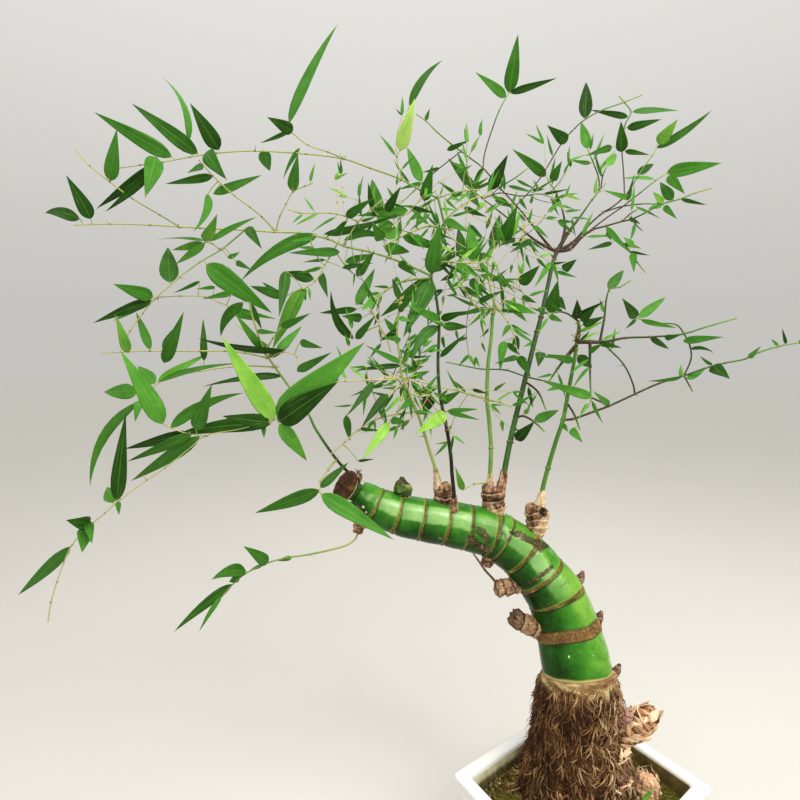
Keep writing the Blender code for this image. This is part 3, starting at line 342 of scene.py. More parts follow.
def ringMesh(name, rings, layers=None):  # rings: rows x sides x 3, closed at both ends
    rows, sides = rings.shape[:2]
    points = np.concatenate([rings.reshape(-1, 3), rings[:1].mean(axis=1), rings[-1:].mean(axis=1)])
    grid = np.arange(rows * sides).reshape(rows, sides)
    a, b = grid[:-1], np.roll(grid, -1, axis=1)[:-1]
    c, d = np.roll(grid, -1, axis=1)[1:], grid[1:]
    faces = np.stack([a, b, c, d], axis=-1).reshape(-1, 4).tolist()
    last = rows * sides
    faces += [(last, (k + 1) % sides, k) for k in range(sides)]
    faces += [(last + 1, last - sides + k, last - sides + (k + 1) % sides) for k in range(sides)]
    mesh = bpy.data.meshes.new(name)
    mesh.from_pydata(points.tolist(), [], faces)
    for key, values in (layers or {}).items():
        values = np.broadcast_to(np.asarray(values, float), (rows, sides))
        values = np.concatenate([values.ravel(), [values[0].mean(), values[-1].mean()]]).astype(np.float32)
        mesh.attributes.new(key, "FLOAT", "POINT").data.foreach_set("value", values)
    mesh.shade_smooth()
    return mesh


def addPiece(name, mesh, material):
    piece = bpy.data.objects.new(name, mesh)
    bpy.context.scene.collection.objects.link(piece)
    mesh.materials.clear()
    mesh.materials.append(material)
    return piece


def rough(place, scale, seed=0.0):  # smooth noise between about -1 and 1 at a place in metres
    return noise.noise(Vector(place) * (1000.0 / scale) + Vector((seed, seed * 1.7, -seed)))


def ringNoise(turn, fine, along):  # smooth noise round a ring
    return noise.noise(Vector((math.cos(turn) * fine, math.sin(turn) * fine, along)))


def sheetRows(drawn):  # across, down, near, radius as drawn on the sheet, to a place and a radius in space
    return [(*onSheet(*point[:3]), sizeAt(*point[2:])) for point in drawn]


def bodyOfRings(name, drawn, sides, spacing, rule):
    # rule(run, share, turn, place, outward) gives the radius to add in millimetres and the values for the
    # piece's layers. run is the way from the foot in millimetres, share the same from 0 to 1
    path, _ = smoothRows(sheetRows(drawn), spacing * mm)
    runs = lengthsOf(path) / mm
    ways, side, upright = ringFrames(path)
    turns = np.arange(sides) * math.tau / sides
    rings = np.zeros((len(path), sides, 3))
    layers = {}
    for row, run in enumerate(runs):
        for k, turn in enumerate(turns):
            outward = Vector(math.cos(turn) * side[row] + math.sin(turn) * upright[row])
            extra, values = rule(run, run / runs[-1], turn, Vector(path[row, :3]) + outward * path[row, 3], outward)
            ahead = ways[row] * values.pop("ahead", 0.0) * mm
            rings[row, k] = path[row, :3] + np.array(outward) * (path[row, 3] + extra * mm) + ahead
            for key, value in values.items():
                layers.setdefault(key, np.zeros((len(path), sides)))[row, k] = value
    return ringMesh(name, rings, layers)


def ringPiece(name, drawn, sides, spacing, rule, material, slot, *nodes):
    return settle(addPiece(name, bodyOfRings(name, drawn, sides, spacing, rule), material), slot, *nodes)


# Old stem and what sits on it: across, down, near, radius, all as drawn on the sheet
trunkDrawn = [(577, 672, -20, 33.6), (574, 655, -24, 32.8), (568, 631, -30, 31.2), (556, 597, -38, 28.6),
    (540, 575, -42, 26.2), (521, 553, -45, 24.4), (500, 538, -46, 24.0), (490, 533, -45, 23.4), (466, 527, -43, 22.6),
    (445, 523, -41, 21.9), (421, 519, -39, 21.1), (397, 514, -37, 19.8), (375, 505, -36, 18.2), (366, 499, -35, 16.4),
    (358, 493, -34, 13.8)]
cutEndDrawn = [(358, 493, -35.5, 9.0), (353, 490.5, -34.3, 10.0), (349.5, 488.6, -32.8, 12.5),
    (347.4, 487.4, -31.6, 15.4), (345.4, 486.2, -30.3, 16.6), (343.8, 485.2, -29.2, 16.4),
    (343.2, 484.9, -28.8, 14.2), (343, 484.8, -28.65, 10.0), (342.8, 484.7, -28.5, 5.5), (342.6, 484.6, -28.4, 1.5)]
endTuftDrawn = [(352, 491, -38, 3.4), (357, 483, -39, 3.8), (359, 476, -39, 3.2), (359, 471, -39, 1.2)]

stubsDrawn = {
    "stub_left": [(446, 516, -40, 7.4), (445, 505, -40, 9.0), (444, 499, -40, 9.8), (443, 494, -40, 8.8),
        (443, 490, -40, 9.6), (442, 486, -40, 8.4), (441, 484, -40, 5.6)],
    "stub_middle": [(497, 522, -46, 8.0), (495, 512, -46, 10.4), (494, 506, -46, 12.0), (493, 501, -46, 10.8),
        (493, 495, -46, 12.2), (493, 489, -46, 11.0), (494, 486, -46, 7.5)],
    "stub_right": [(533, 545, -45, 5.5), (536, 533, -44, 7.6), (537, 526, -44, 11.0), (537, 521, -44, 10.6),
        (537, 514, -44, 12.2), (537, 508, -44, 11.0), (538, 505, -44, 7.0)],
    "stub_lower": [(528, 583, -38, 7.0), (514, 586, -36, 7.6), (508, 587, -35, 8.6), (503, 587, -35, 7.8),
        (498, 588, -35, 8.6), (495, 588, -35, 6.0)],
    "stub_front": [(547, 634, -28, 8.0), (530, 626, -26, 9.6), (525, 623, -25, 8.8), (519, 620, -25, 9.8),
        (515, 617, -24, 9.0), (514, 616, -24, 6.5)],
    "stub_under": [(492, 548, -40, 6.0), (488, 560, -38, 6.6), (486, 566, -38, 5.0)],
    "stub_low": [(367, 508, -34, 6.4), (362, 519, -34, 7.4), (359, 527, -34, 6.0), (357, 533, -34, 4.4)],
    "bud_green": [(406, 508, -38, 6.4), (404, 498, -38, 7.8), (403, 490, -38, 8.8), (402, 483, -38, 6.8),
        (402, 477, -38, 2.0)],
    "bud_upper": [(565, 597, -40, 5.6), (575, 586, -40, 5.4), (581, 577, -40, 4.2), (583, 571, -40, 1.4)],
    "bud_middle": [(582, 634, -32, 6.0), (594, 625, -31, 5.8), (599, 617, -31, 4.4), (602, 611, -31, 1.4)],
    "bud_lower": [(598, 684, -18, 5.5), (610, 677, -16, 5.0), (617, 670, -15, 4.0), (620, 664, -15, 1.4)],
}
rootBudDrawn = [(614, 740, -10, 8.0), (629, 731, -6, 11.5), (637, 725, -4, 13.5), (646, 717, -2, 12.0),
    (653, 709, 0, 7.0)]
cutShootDrawn = [(643, 812, -34, 11.0), (645, 799, -34, 12.2), (646, 787, -33, 12.0), (647, 778, -33, 12.6),
    (647, 773, -33, 9.5)]
greenShootDrawn = [(638, 834, -6, 3.0), (641, 815, -5, 3.6), (645, 801, -7, 2.8), (651, 791, -8, 0.8)]
lowerTwigDrawn = [(500, 588, -35, 1.4), (494, 580, -32, 1.3), (485, 570, -26, 1.1), (478, 560, -19, 1.0),
    (473, 553, -15, 0.8)]

# Leafy stems. A culm starts at its foot, its route is across and down, and near is given for its ends; joints
# are counted along it from the foot as 0. A twig is how far its tip comes nearer than its root, then its route.
# A leaf is its base, its tip and its width, then its bow and its rise.
stems = {
    "stem_cut_end": {
        "foot": (366, 495, -43), "near": (-54, 36), "radius": (1.7, 1.0), "joints": (2, 6, 9),
        "culm": [(353, 477), (342, 466), (331, 452), (315, 428), (309, 415), (300, 403), (290, 388), (275, 367),
            (265, 352), (257, 331), (252, 315), (250, 303)],
        "twigs": [
            (48, [(303, 407), (288, 414), (272, 421)]),
            (8, [(272, 421), (240, 429), (205, 436), (190, 448), (165, 468), (147, 480), (121, 499), (105, 513),
                (85, 530), (72, 545), (64, 562), (57, 582), (51, 602), (48, 622)]),
            (10, [(205, 436), (185, 433), (167, 426)]),
            (46, [(336, 460), (328, 470), (320, 482), (320, 493)]),
            (12, [(268, 357), (245, 353), (225, 351), (200, 351), (150, 351), (101, 353)]),
            (12, [(275, 367), (243, 366), (200, 371), (165, 379), (153, 387), (139, 400)]),
            (6, [(268, 357), (283, 352), (297, 357), (298, 372)]),
            (-6, [(262, 345), (248, 334), (236, 323)]),
            (8, [(265, 352), (273, 338), (281, 327)])],
        "leaves": [(274, 420, 221, 335, 20), (277, 419, 365, 342, 30), (279, 422, 338, 382, 24),
            (279, 424, 307, 461, 15), (270, 423, 222, 416, 15), (271, 424, 170, 438, 15, -5),
            (163, 424, 120, 350, 19), (170, 428, 244, 393, 12, 7), (196, 430, 212, 384, 15), (190, 432, 124, 449, 11),
            (192, 434, 126, 462, 11), (200, 436, 131, 481, 14), (128, 353, 115, 314, 10), (138, 391, 104, 392, 16),
            (139, 401, 90, 487, 9, -17), (139, 401, 135, 422, 8), (158, 381, 209, 353, 9), (158, 382, 243, 363, 8),
            (155, 384, 138, 366, 13), (150, 350, 136, 312, 9), (164, 363, 184, 311, 12), (163, 350, 176, 326, 8),
            (204, 361, 203, 318, 7), (117, 501, 126, 412, 14), (113, 503, 107, 487, 13), (90, 524, 66, 520, 14),
            (86, 528, 82, 553, 14), (88, 522, 92, 544, 9), (71, 546, 18, 595, 12), (320, 490, 255, 513, 14),
            (320, 488, 349, 462, 9), (321, 494, 394, 540, 17, 0, 6), (243, 302, 221, 337, 11, -6),
            (262, 349, 234, 312, 8), (285, 350, 197, 338, 7), (282, 376, 202, 387, 7), (276, 352, 302, 326, 9),
            (270, 352, 250, 336, 8), (297, 371, 332, 352, 9), (300, 342, 323, 348, 8), (250, 303, 262, 330, 6),
            (257, 331, 280, 333, 5), (281, 327, 311, 313, 8), (268, 357, 290, 345, 7)],
    },
    "stem_dark": {
        "foot": (455, 519, -27), "near": (-26, -38), "radius": (2.5, 1.4), "joints": (4, 5, 7, 9, 12),
        "culm": [(454, 494), (452, 474), (451, 458), (447, 430), (440, 395), (438, 364), (439, 323), (435, 290),
            (431, 277), (436, 262), (442, 243), (445, 231), (442, 214), (438, 198)],
        "twigs": [
            (55, [(438, 198), (420, 190), (400, 179), (370, 168), (344, 159), (306, 154), (255, 151), (217, 153),
                (190, 157), (163, 162), (140, 165), (119, 168)]),
            (10, [(344, 159), (328, 152), (308, 145), (291, 132)]),
            (60, [(431, 276), (410, 266), (390, 258), (370, 252), (344, 246), (328, 239), (300, 233), (275, 232),
                (245, 230), (200, 228), (150, 225), (110, 224), (74, 225)]),
            (8, [(276, 232), (262, 217), (250, 207), (235, 196), (213, 176), (199, 160)]),
            (8, [(276, 231), (280, 216), (286, 204), (293, 192), (305, 186), (313, 183)]),
            (12, [(178, 227), (160, 215), (133, 199), (110, 182), (90, 166), (76, 150)]),
            (12, [(245, 231), (222, 249), (200, 262), (180, 277), (155, 299), (143, 313), (130, 331), (121, 347)]),
            (4, [(220, 250), (213, 244), (205, 242)]),
            (10, [(338, 245), (325, 265), (315, 281), (303, 289)]),
            (14, [(344, 245), (358, 222), (383, 199)]),
            (8, [(358, 222), (345, 216), (330, 213), (300, 213), (288, 209)]),
            (12, [(442, 229), (430, 226), (418, 229), (400, 237), (383, 246)]),
            (10, [(438, 198), (425, 204), (400, 218), (392, 228)]),
            (12, [(431, 278), (405, 281), (385, 291), (370, 303), (373, 313), (385, 335), (391, 352)]),
            (6, [(402, 180), (399, 168), (397, 157), (400, 150)]),
            (-8, [(438, 198), (452, 193), (465, 190), (480, 190)]),
            (-8, [(444, 222), (462, 205), (475, 198), (490, 194)]),
            (-8, [(436, 262), (452, 262), (470, 263), (484, 262)]),
            (-6, [(157, 298), (180, 296), (205, 297), (230, 307)])],
        "leaves": [(172, 157, 94, 112, 15), (198, 154, 131, 103, 15), (188, 142, 161, 76, 6, -7),
            (219, 150, 190, 103, 16), (206, 152, 227, 180, 16), (203, 165, 187, 173, 6), (213, 176, 165, 184, 8),
            (156, 157, 145, 198, 17), (163, 163, 96, 209, 11), (150, 172, 105, 212, 8), (110, 181, 117, 128, 13),
            (91, 219, 66, 175, 14), (80, 219, 45, 213, 12, -3), (213, 194, 262, 175, 9), (208, 194, 193, 232, 8, 5),
            (205, 241, 217, 214, 12), (211, 241, 257, 217, 6), (205, 241, 155, 240, 4), (204, 243, 172, 250, 8),
            (205, 243, 176, 264, 8), (247, 227, 262, 249, 10), (262, 150, 270, 171, 13), (293, 131, 267, 117, 12),
            (289, 131, 260, 143, 4), (289, 124, 338, 24, 8, -2), (292, 191, 298, 154, 11),
            (300, 148, 283, 180, 4, -3), (170, 283, 168, 247, 18), (206, 264, 272, 313, 22), (153, 297, 113, 284, 14),
            (152, 300, 93, 323, 10), (142, 305, 113, 321, 5), (200, 281, 173, 293, 4), (215, 287, 196, 289, 4),
            (232, 293, 202, 299, 6), (232, 310, 258, 321, 9), (238, 309, 277, 319, 5), (236, 262, 252, 270, 6),
            (318, 235, 241, 281, 13, -7), (324, 234, 400, 213, 9), (340, 252, 288, 253, 9), (314, 279, 284, 272, 11),
            (302, 288, 272, 350, 15), (286, 271, 279, 317, 11), (285, 297, 250, 286, 10), (284, 298, 262, 282, 6),
            (321, 275, 328, 298, 8), (346, 217, 373, 198, 9), (378, 216, 372, 179, 15), (372, 207, 368, 182, 6),
            (407, 211, 356, 216, 9), (386, 212, 401, 186, 9), (395, 239, 376, 214, 16), (382, 240, 372, 222, 12),
            (344, 240, 388, 243, 8, 9), (384, 247, 410, 252, 12), (402, 236, 448, 250, 10), (431, 274, 440, 222, 16),
            (436, 272, 455, 246, 10), (430, 279, 380, 317, 14), (431, 281, 403, 338, 18), (440, 320, 406, 305, 9),
            (441, 319, 467, 311, 8), (442, 326, 468, 327, 9), (438, 326, 411, 364, 12, -6), (440, 357, 467, 333, 6),
            (437, 345, 420, 354, 4), (399, 262, 415, 276, 8), (357, 276, 375, 250, 9), (356, 305, 375, 268, 11),
            (345, 262, 374, 254, 8), (342, 268, 374, 263, 5), (375, 298, 361, 311, 8), (357, 309, 319, 313, 7),
            (362, 318, 341, 316, 9), (353, 339, 331, 290, 10, 6), (356, 339, 376, 315, 8), (474, 263, 469, 222, 14),
            (464, 258, 458, 228, 12), (446, 220, 471, 233, 8), (424, 201, 433, 164, 12), (422, 182, 407, 147, 11),
            (400, 151, 415, 98, 14), (409, 106, 443, 60, 8, 5), (413, 208, 435, 213, 5), (430, 214, 409, 231, 4),
            (441, 402, 461, 391, 9), (447, 411, 479, 409, 5), (448, 412, 480, 420, 5), (446, 413, 415, 434, 14)],
    },
    "stem_thin": {
        "foot": (442, 495, -40), "near": (-40, -8), "radius": (2.0, 1.0), "joints": (2, 6, 8),
        "culm": [(439, 479), (436, 470), (430, 452), (425, 436), (417, 412), (408, 392), (402, 376), (400, 357),
            (397, 335), (399, 312), (400, 300)],
        "twigs": [
            (12, [(402, 378), (372, 380), (345, 381), (325, 383)]),
            (-6, [(402, 378), (418, 381), (430, 384)]),
            (12, [(417, 412), (400, 414), (380, 418), (358, 430), (345, 442), (330, 455)]),
            (6, [(403, 382), (394, 390), (388, 396)]),
            (8, [(404, 386), (401, 400), (397, 412), (391, 420), (389, 424)]),
            (8, [(403, 379), (385, 378), (372, 384), (358, 402), (347, 414)]),
            (4, [(408, 392), (420, 396), (430, 395)])],
        "leaves": [(388, 394, 361, 428, 10), (389, 423, 362, 460, 11), (391, 420, 408, 423, 8),
            (374, 383, 347, 416, 8), (346, 415, 350, 441, 8), (431, 394, 424, 414, 13), (412, 400, 398, 411, 8),
            (402, 363, 365, 345, 6), (401, 366, 350, 372, 6), (410, 365, 430, 359, 6), (401, 340, 380, 337, 5),
            (397, 334, 384, 318, 7), (401, 365, 417, 344, 4), (366, 367, 350, 367, 3), (410, 378, 430, 371, 6),
            (360, 429, 382, 431, 4), (358, 461, 375, 459, 3), (399, 312, 410, 296, 6), (400, 300, 392, 278, 7),
            (398, 330, 380, 341, 6), (403, 372, 424, 366, 7)],
    },
    "stem_pale": {
        "foot": (490, 502, -46), "near": (-46, -82), "radius": (2.5, 1.8), "joints": (1, 2, 4, 7),
        "culm": [(490, 476), (491, 448), (489, 420), (487, 399), (488, 365), (491, 340), (493, 314), (495, 305)],
        "twigs": [
            (4, [(487, 399), (472, 395), (458, 391), (446, 388)]),
            (3, [(487, 400), (500, 402), (511, 407)]),
            (-8, [(495, 308), (500, 311), (518, 311), (534, 313)]),
            (-6, [(495, 306), (492, 295), (489, 280), (487, 262), (484, 256)]),
            (4, [(495, 306), (508, 322), (515, 338)]),
            (-8, [(488, 274), (505, 286), (520, 290), (527, 297)]),
            (-8, [(484, 256), (492, 250), (503, 243), (515, 238), (532, 240)]),
            (-4, [(503, 243), (506, 236), (515, 229), (536, 222)]),
            (8, [(494, 307), (478, 308), (466, 292), (455, 272), (450, 262)]),
            (8, [(490, 482), (474, 484), (463, 490)])],
        "leaves": [(492, 250, 500, 214, 11), (503, 243, 518, 204, 14), (463, 490, 455, 466, 7),
            (471, 279, 484, 298, 9), (478, 302, 505, 290, 6), (480, 275, 517, 283, 6), (520, 284, 540, 265, 12),
            (461, 281, 471, 267, 8), (532, 240, 509, 253, 6), (515, 239, 499, 246, 5), (512, 306, 537, 314, 9),
            (505, 300, 527, 322, 8), (522, 297, 537, 303, 6), (504, 341, 500, 372, 9), (518, 357, 494, 364, 6),
            (507, 343, 520, 355, 6), (487, 308, 452, 317, 5), (463, 287, 483, 300, 6), (455, 274, 440, 281, 5),
            (515, 335, 519, 350, 6), (506, 287, 500, 272, 6)],
    },
    "stem_thick": {
        "foot": (500, 503, -46), "near": (-46, -130), "radius": (3.3, 2.2), "joints": (1, 3, 6, 7, 10),
        "culm": [(503, 482), (505, 468), (510, 442), (517, 412), (527, 372), (537, 332), (541, 317), (548, 285),
            (553, 262), (557, 251)],
        "twigs": [
            (-12, [(557, 251), (568, 233), (580, 217), (592, 200), (606, 183)]),
            (-5, [(598, 191), (599, 180), (595, 167), (588, 150)]),
            (3, [(600, 190), (603, 175), (607, 166)]),
            (-25, [(557, 251), (572, 243), (588, 226), (600, 215), (615, 205), (625, 196), (632, 186), (643, 168),
                (652, 156), (657, 148)]),
            (10, [(557, 251), (570, 249), (582, 237), (592, 230), (606, 226), (620, 222), (632, 219), (645, 213),
                (662, 204), (680, 199), (695, 193), (712, 188)]),
            (-30, [(588, 233), (605, 219), (622, 207), (640, 193), (655, 181), (667, 173)]),
            (-8, [(624, 196), (624, 180), (623, 165), (622, 150), (625, 125), (631, 112), (625, 103), (619, 96)]),
            (10, [(603, 212), (620, 207), (640, 204), (662, 204)]),
            (14, [(606, 226), (618, 238), (629, 250), (637, 262), (646, 273)]),
            (6, [(622, 222), (630, 214), (638, 209)]),
            (6, [(632, 219), (637, 226), (643, 231)]),
            (-8, [(562, 243), (565, 225), (561, 205), (556, 192), (548, 181)]),
            (14, [(557, 252), (545, 246), (536, 241), (520, 228), (500, 212), (482, 198), (466, 185)]),
            (-6, [(553, 250), (540, 235), (530, 222), (515, 204), (500, 188), (483, 168), (470, 158), (450, 143),
                (437, 132), (426, 121), (416, 114)]),
            (8, [(483, 168), (484, 157), (487, 145), (493, 127), (499, 111), (508, 94)]),
            (4, [(483, 198), (500, 193), (520, 196), (540, 194), (556, 199)]),
            (5, [(491, 195), (500, 187), (515, 178), (528, 168)]),
            (0, [(461, 151), (436, 171), (415, 190), (398, 206)]),
            (-8, [(516, 206), (530, 191), (541, 177), (552, 159), (562, 143), (572, 131), (583, 121), (600, 111),
                (622, 103), (642, 95)]),
            (6, [(516, 417), (523, 416), (533, 421), (545, 432)]),
            (-6, [(529, 383), (538, 392), (546, 410)])],
        "leaves": [(667, 172, 722, 163, 13), (668, 176, 685, 194, 9), (673, 200, 660, 182, 10),
            (654, 179, 620, 179, 3), (637, 174, 654, 164, 8), (656, 148, 712, 110, 7), (658, 144, 678, 119, 12),
            (630, 199, 602, 190, 5), (622, 152, 621, 121, 11), (625, 151, 650, 155, 5), (627, 128, 662, 119, 8),
            (632, 112, 680, 111, 6), (628, 117, 590, 110, 6), (612, 147, 585, 156, 7), (607, 166, 616, 153, 9),
            (588, 149, 581, 122, 10), (552, 181, 562, 161, 9), (546, 176, 512, 149, 10), (567, 142, 547, 125, 11),
            (585, 119, 586, 82, 13), (606, 227, 630, 253, 6), (633, 253, 634, 273, 7), (612, 243, 587, 250, 5),
            (664, 206, 677, 219, 6), (681, 199, 707, 205, 4), (509, 93, 518, 34, 14), (506, 97, 475, 72, 9),
            (510, 93, 557, 78, 7), (447, 150, 470, 140, 5), (477, 192, 448, 158, 9), (483, 168, 473, 183, 5),
            (490, 190, 508, 154, 12), (470, 193, 480, 208, 9), (495, 200, 513, 210, 6, 3), (464, 208, 487, 217, 6),
            (551, 313, 558, 280, 14), (555, 299, 566, 310, 11), (563, 270, 577, 259, 9), (516, 440, 535, 421, 11),
            (534, 421, 559, 410, 10), (541, 352, 538, 367, 10), (551, 262, 534, 288, 6), (519, 356, 531, 378, 9)],
    },
    "stem_right": {
        "foot": (539, 515, -46), "near": (-46, -22), "radius": (2.6, 1.9), "joints": (2, 4, 7),
        "culm": [(542, 492), (548, 468), (556, 441), (563, 420), (569, 388), (574, 362), (576, 349), (577, 338)],
        "twigs": [
            (-8, [(563, 420), (573, 419), (590, 413), (609, 406), (635, 394), (660, 383), (683, 376), (706, 368),
                (725, 363), (745, 359), (760, 352), (780, 346), (803, 342)]),
            (14, [(635, 394), (633, 384), (624, 365), (610, 350), (600, 341)]),
            (-14, [(684, 376), (691, 359), (690, 346), (684, 334), (677, 325), (660, 323), (645, 320), (636, 318)]),
            (12, [(577, 342), (590, 342), (603, 342), (625, 338), (650, 337), (683, 334), (706, 327), (737, 318)]),
            (6, [(577, 340), (579, 330), (578, 321)]),
            (10, [(578, 322), (566, 313), (556, 312), (549, 316)]),
            (-8, [(600, 341), (604, 320), (609, 290), (620, 287), (631, 280)]),
            (-70, [(609, 405), (590, 397), (565, 386), (540, 380), (527, 377), (505, 370), (481, 369), (460, 365),
                (446, 362)]),
            (5, [(685, 377), (689, 385), (693, 392)]),
            (-8, [(577, 345), (568, 355), (558, 368), (548, 383)]),
            (6, [(590, 343), (590, 370), (591, 402)]),
            (4, [(566, 404), (574, 414), (580, 430)])],
        "leaves": [(636, 318, 622, 298, 10), (638, 318, 666, 297, 9), (641, 320, 678, 328, 5),
            (683, 341, 724, 337, 8), (690, 349, 714, 353, 4, 3), (686, 379, 706, 368, 7), (682, 377, 647, 381, 4),
            (712, 366, 730, 379, 12), (749, 358, 761, 346, 5), (797, 343, 815, 339, 6), (786, 344, 782, 328, 3),
            (665, 338, 681, 335, 6), (650, 337, 669, 349, 6), (608, 289, 624, 270, 10), (577, 319, 577, 299, 10),
            (578, 316, 605, 301, 6), (581, 321, 596, 307, 9), (583, 325, 605, 316, 8), (589, 352, 604, 343, 6),
            (609, 405, 593, 391, 7), (592, 397, 540, 380, 10), (578, 355, 592, 368, 11), (573, 361, 546, 354, 8),
            (571, 429, 583, 443, 8), (600, 343, 622, 348, 6)],
    },
    "stem_low": {
        "foot": (360, 524, -34), "near": (-34, -6), "radius": (1.5, 0.9), "joints": (5, 7),
        "culm": [(356, 538), (347, 545), (330, 550), (306, 555), (285, 558), (265, 564), (245, 574), (232, 585),
            (223, 595)],
        "twigs": [],
        "leaves": [(268, 563, 243, 546, 12), (246, 571, 211, 580, 13, -4), (233, 584, 174, 632, 9),
            (222, 596, 199, 632, 5)],
    },
}


def toSheet(place):  # where a point in space is drawn on the sheet
    away = Vector(place) - view["eye"]
    scale = view["sheetAway"] / (away.dot(aheadWay) / mm)
    return (view["sheetMiddle"] + away.dot(rightWay) / mm * scale, view["sheetMiddle"] - away.dot(upWay) / mm * scale)


def smoothStep(value, low, high):
    share = min(max((value - low) / (high - low), 0.0), 1.0)
    return share * share * (3 - 2 * share)


roundSkin = makeSkinTree("round skin", False)
flatSkin = makeSkinTree("flat skin", True)


def skinned(name, paths, material, tree=roundSkin, sides=8, thickness=1.0, fold=0.0):
    return grown(name, pathMesh(name, paths), tree, Sides=sides, Thickness=thickness, Fold=fold, Material=material)


# Pot: white glaze, olive stains on the inner wall, darker on the wall away from the light as painted shade

potValues = {
    "rimLong": 0.211, "rimShort": 0.165, "turn": math.radians(34.5), "corner": 0.0045, "cornerSteps": 8,
    "outerWall": [(0.0, 0.0252), (0.0, 0.0242), (0.0004, 0.0234), (0.0013, 0.0229), (0.003, 0.0225), (0.027, 0.0182),
        (0.050, 0.0140), (0.076, 0.0087), (0.100, 0.0040), (0.106, 0.0022), (0.110, 0.0008),
        (0.1121, 0.0002), (0.1136, 0.0002), (0.1145, 0.0007), (0.115, 0.0016), (0.1151, 0.0070),
        (0.115, 0.0118), (0.1146, 0.0129), (0.1138, 0.0137), (0.1120, 0.0144)],
    "rimRows": 15, "rimStain": 0.35,  # the outer wall's first rows have no stain, the rim's have a little
    "innerWall": [(0.1114, 0.0147), (0.105, 0.0165), (0.082, 0.0195), (0.060, 0.0225), (0.036, 0.0262),
        (0.014, 0.0297), (0.012, 0.0310)],
    "soilWall": [(0.012, 0.0300), (0.060, 0.0225), (0.105, 0.0165), (0.1135, 0.0138), (0.115, 0.0125)],
    "drainOut": 0.045, "drainRadius": 0.006, "drainSides": 24, "sharpFrom": math.radians(50),
}


def potOutline(inset, height, steps=potValues["cornerSteps"]):
    corner = max(potValues["corner"] - inset * 0.12, 0.0025)
    halfLong, halfShort = potValues["rimLong"] / 2 - inset - corner, potValues["rimShort"] / 2 - inset - corner
    points = []
    for quarter, (signLong, signShort) in enumerate([(1, 1), (-1, 1), (-1, -1), (1, -1)]):
        for step in range(steps + 1):
            turn = math.pi / 2 * (quarter + step / steps)
            along = signLong * halfLong + corner * math.cos(turn)
            aside = signShort * halfShort + corner * math.sin(turn)
            points.append((along * math.cos(potValues["turn"]) - aside * math.sin(potValues["turn"]),
                along * math.sin(potValues["turn"]) + aside * math.cos(potValues["turn"]), height))
    return points


def innerInset(height):
    return float(np.interp(height, *zip(*potValues["soilWall"])))


def glazePaint():
    paint = Paint("white glaze", IOR=1.5, Coat_Weight=0.35, Coat_Roughness=0.08)
    inside, stained = paint.attribute("inside"), paint.attribute("stained")
    place = paint.node("ShaderNodeTexCoord", out="Object")
    height = paint.node("ShaderNodeSeparateXYZ", values={0: place}, out=2)
    blotches, runs, dust = paint.spots(16.0, 5.0), paint.spots(60.0, 4.0, (1, 1, 0.25)), paint.spots(260.0, 3.0)
    edge = (height + (blotches - 0.5) * 0.006 + (runs - 0.5) * 0.003).rise(0.1135, 0.1110)
    low = (height + (blotches - 0.5) * 0.010).rise(0.1085, 0.1010)
    # the olive-brown stain inside is partly real stain and partly painted shade, stronger on the wall away from the
    # light
    stainAndShade = inside * edge * (stained + low * 0.35 + (runs - 0.5) * 0.9 + (blotches - 0.5) * 0.9).rise(0.10, 0.55)
    faint = inside * edge * ((0.28 + blotches * 0.55) * (0.6 + stained * 1.4)).most(0.9)
    scuffs = (blotches + dust * 0.35).rise(0.80, 0.95) * 0.4
    colour = paint.mix(faint, (0.86, 0.86, 0.83), (0.68, 0.59, 0.13))
    colour = paint.mix(stainAndShade, colour, paint.ramp(runs * 0.6 + dust * 0.4, [
        (0.30, (0.040, 0.032, 0.007)), (0.5, (0.105, 0.078, 0.016)), (0.72, (0.26, 0.21, 0.065))]))
    colour = paint.mix(scuffs, colour, (0.56, 0.54, 0.46))
    paint.feed("Base Color", colour)
    paint.feed("Roughness", 0.14 + stainAndShade * 0.45 + scuffs * 0.4 + dust * 0.05)
    paint.relief(blotches * 0.4 + dust * 0.12 + stainAndShade * 0.3, 0.0005, 0.4)
    return paint.material


def makePot():
    rim = potValues["rimRows"]
    walls = [(h, inset, 0.0) for h, inset in potValues["outerWall"][:rim]]
    walls += [(h, inset, potValues["rimStain"]) for h, inset in potValues["outerWall"][rim:]]
    walls += [(h, inset, 1.0) for h, inset in potValues["innerWall"]]
    rings = np.array([potOutline(inset, height) for height, inset, _ in walls])
    stained = np.clip(0.34 + rings[:, :, 0] / 0.09, 0.16, 1.0)  # the wall away from the light is stained more: a real stain with painted shade over it
    layers = {"inside": np.array([inside for *_, inside in walls])[:, None], "stained": stained}
    piece = addPiece("pot_glazed", ringMesh("pot_glazed", rings, layers), glazePaint())
    for sign in (-1, 1):  # the drain holes
        centre = Vector((math.cos(potValues["turn"]), math.sin(potValues["turn"]), 0)) * potValues["drainOut"] * sign
        sides, radius = potValues["drainSides"], potValues["drainRadius"]
        turns = np.arange(sides) * math.tau / sides
        ring = np.stack([centre.x + np.cos(turns) * radius, centre.y + np.sin(turns) * radius], axis=-1)
        rings = np.array([np.c_[ring, np.full(sides, z)] for z in (-0.01, 0.03)])
        drill = addPiece("drill", ringMesh("drill", rings), piece.data.materials[0])
        step = piece.modifiers.new("hole", "BOOLEAN")
        step.operation, step.object, step.solver = "DIFFERENCE", drill, "EXACT"
        bpy.context.view_layer.update()
        piece.data = bpy.data.meshes.new_from_object(piece.evaluated_get(bpy.context.evaluated_depsgraph_get()))
        piece.modifiers.clear()
        bpy.data.objects.remove(drill, do_unlink=True)
    piece.data.shade_smooth()
    piece.data.set_sharp_from_angle(angle=potValues["sharpFrom"])
    settle(piece, "glaze", "pot")


# Soil: crumbly and damp, with grit, straw and moss

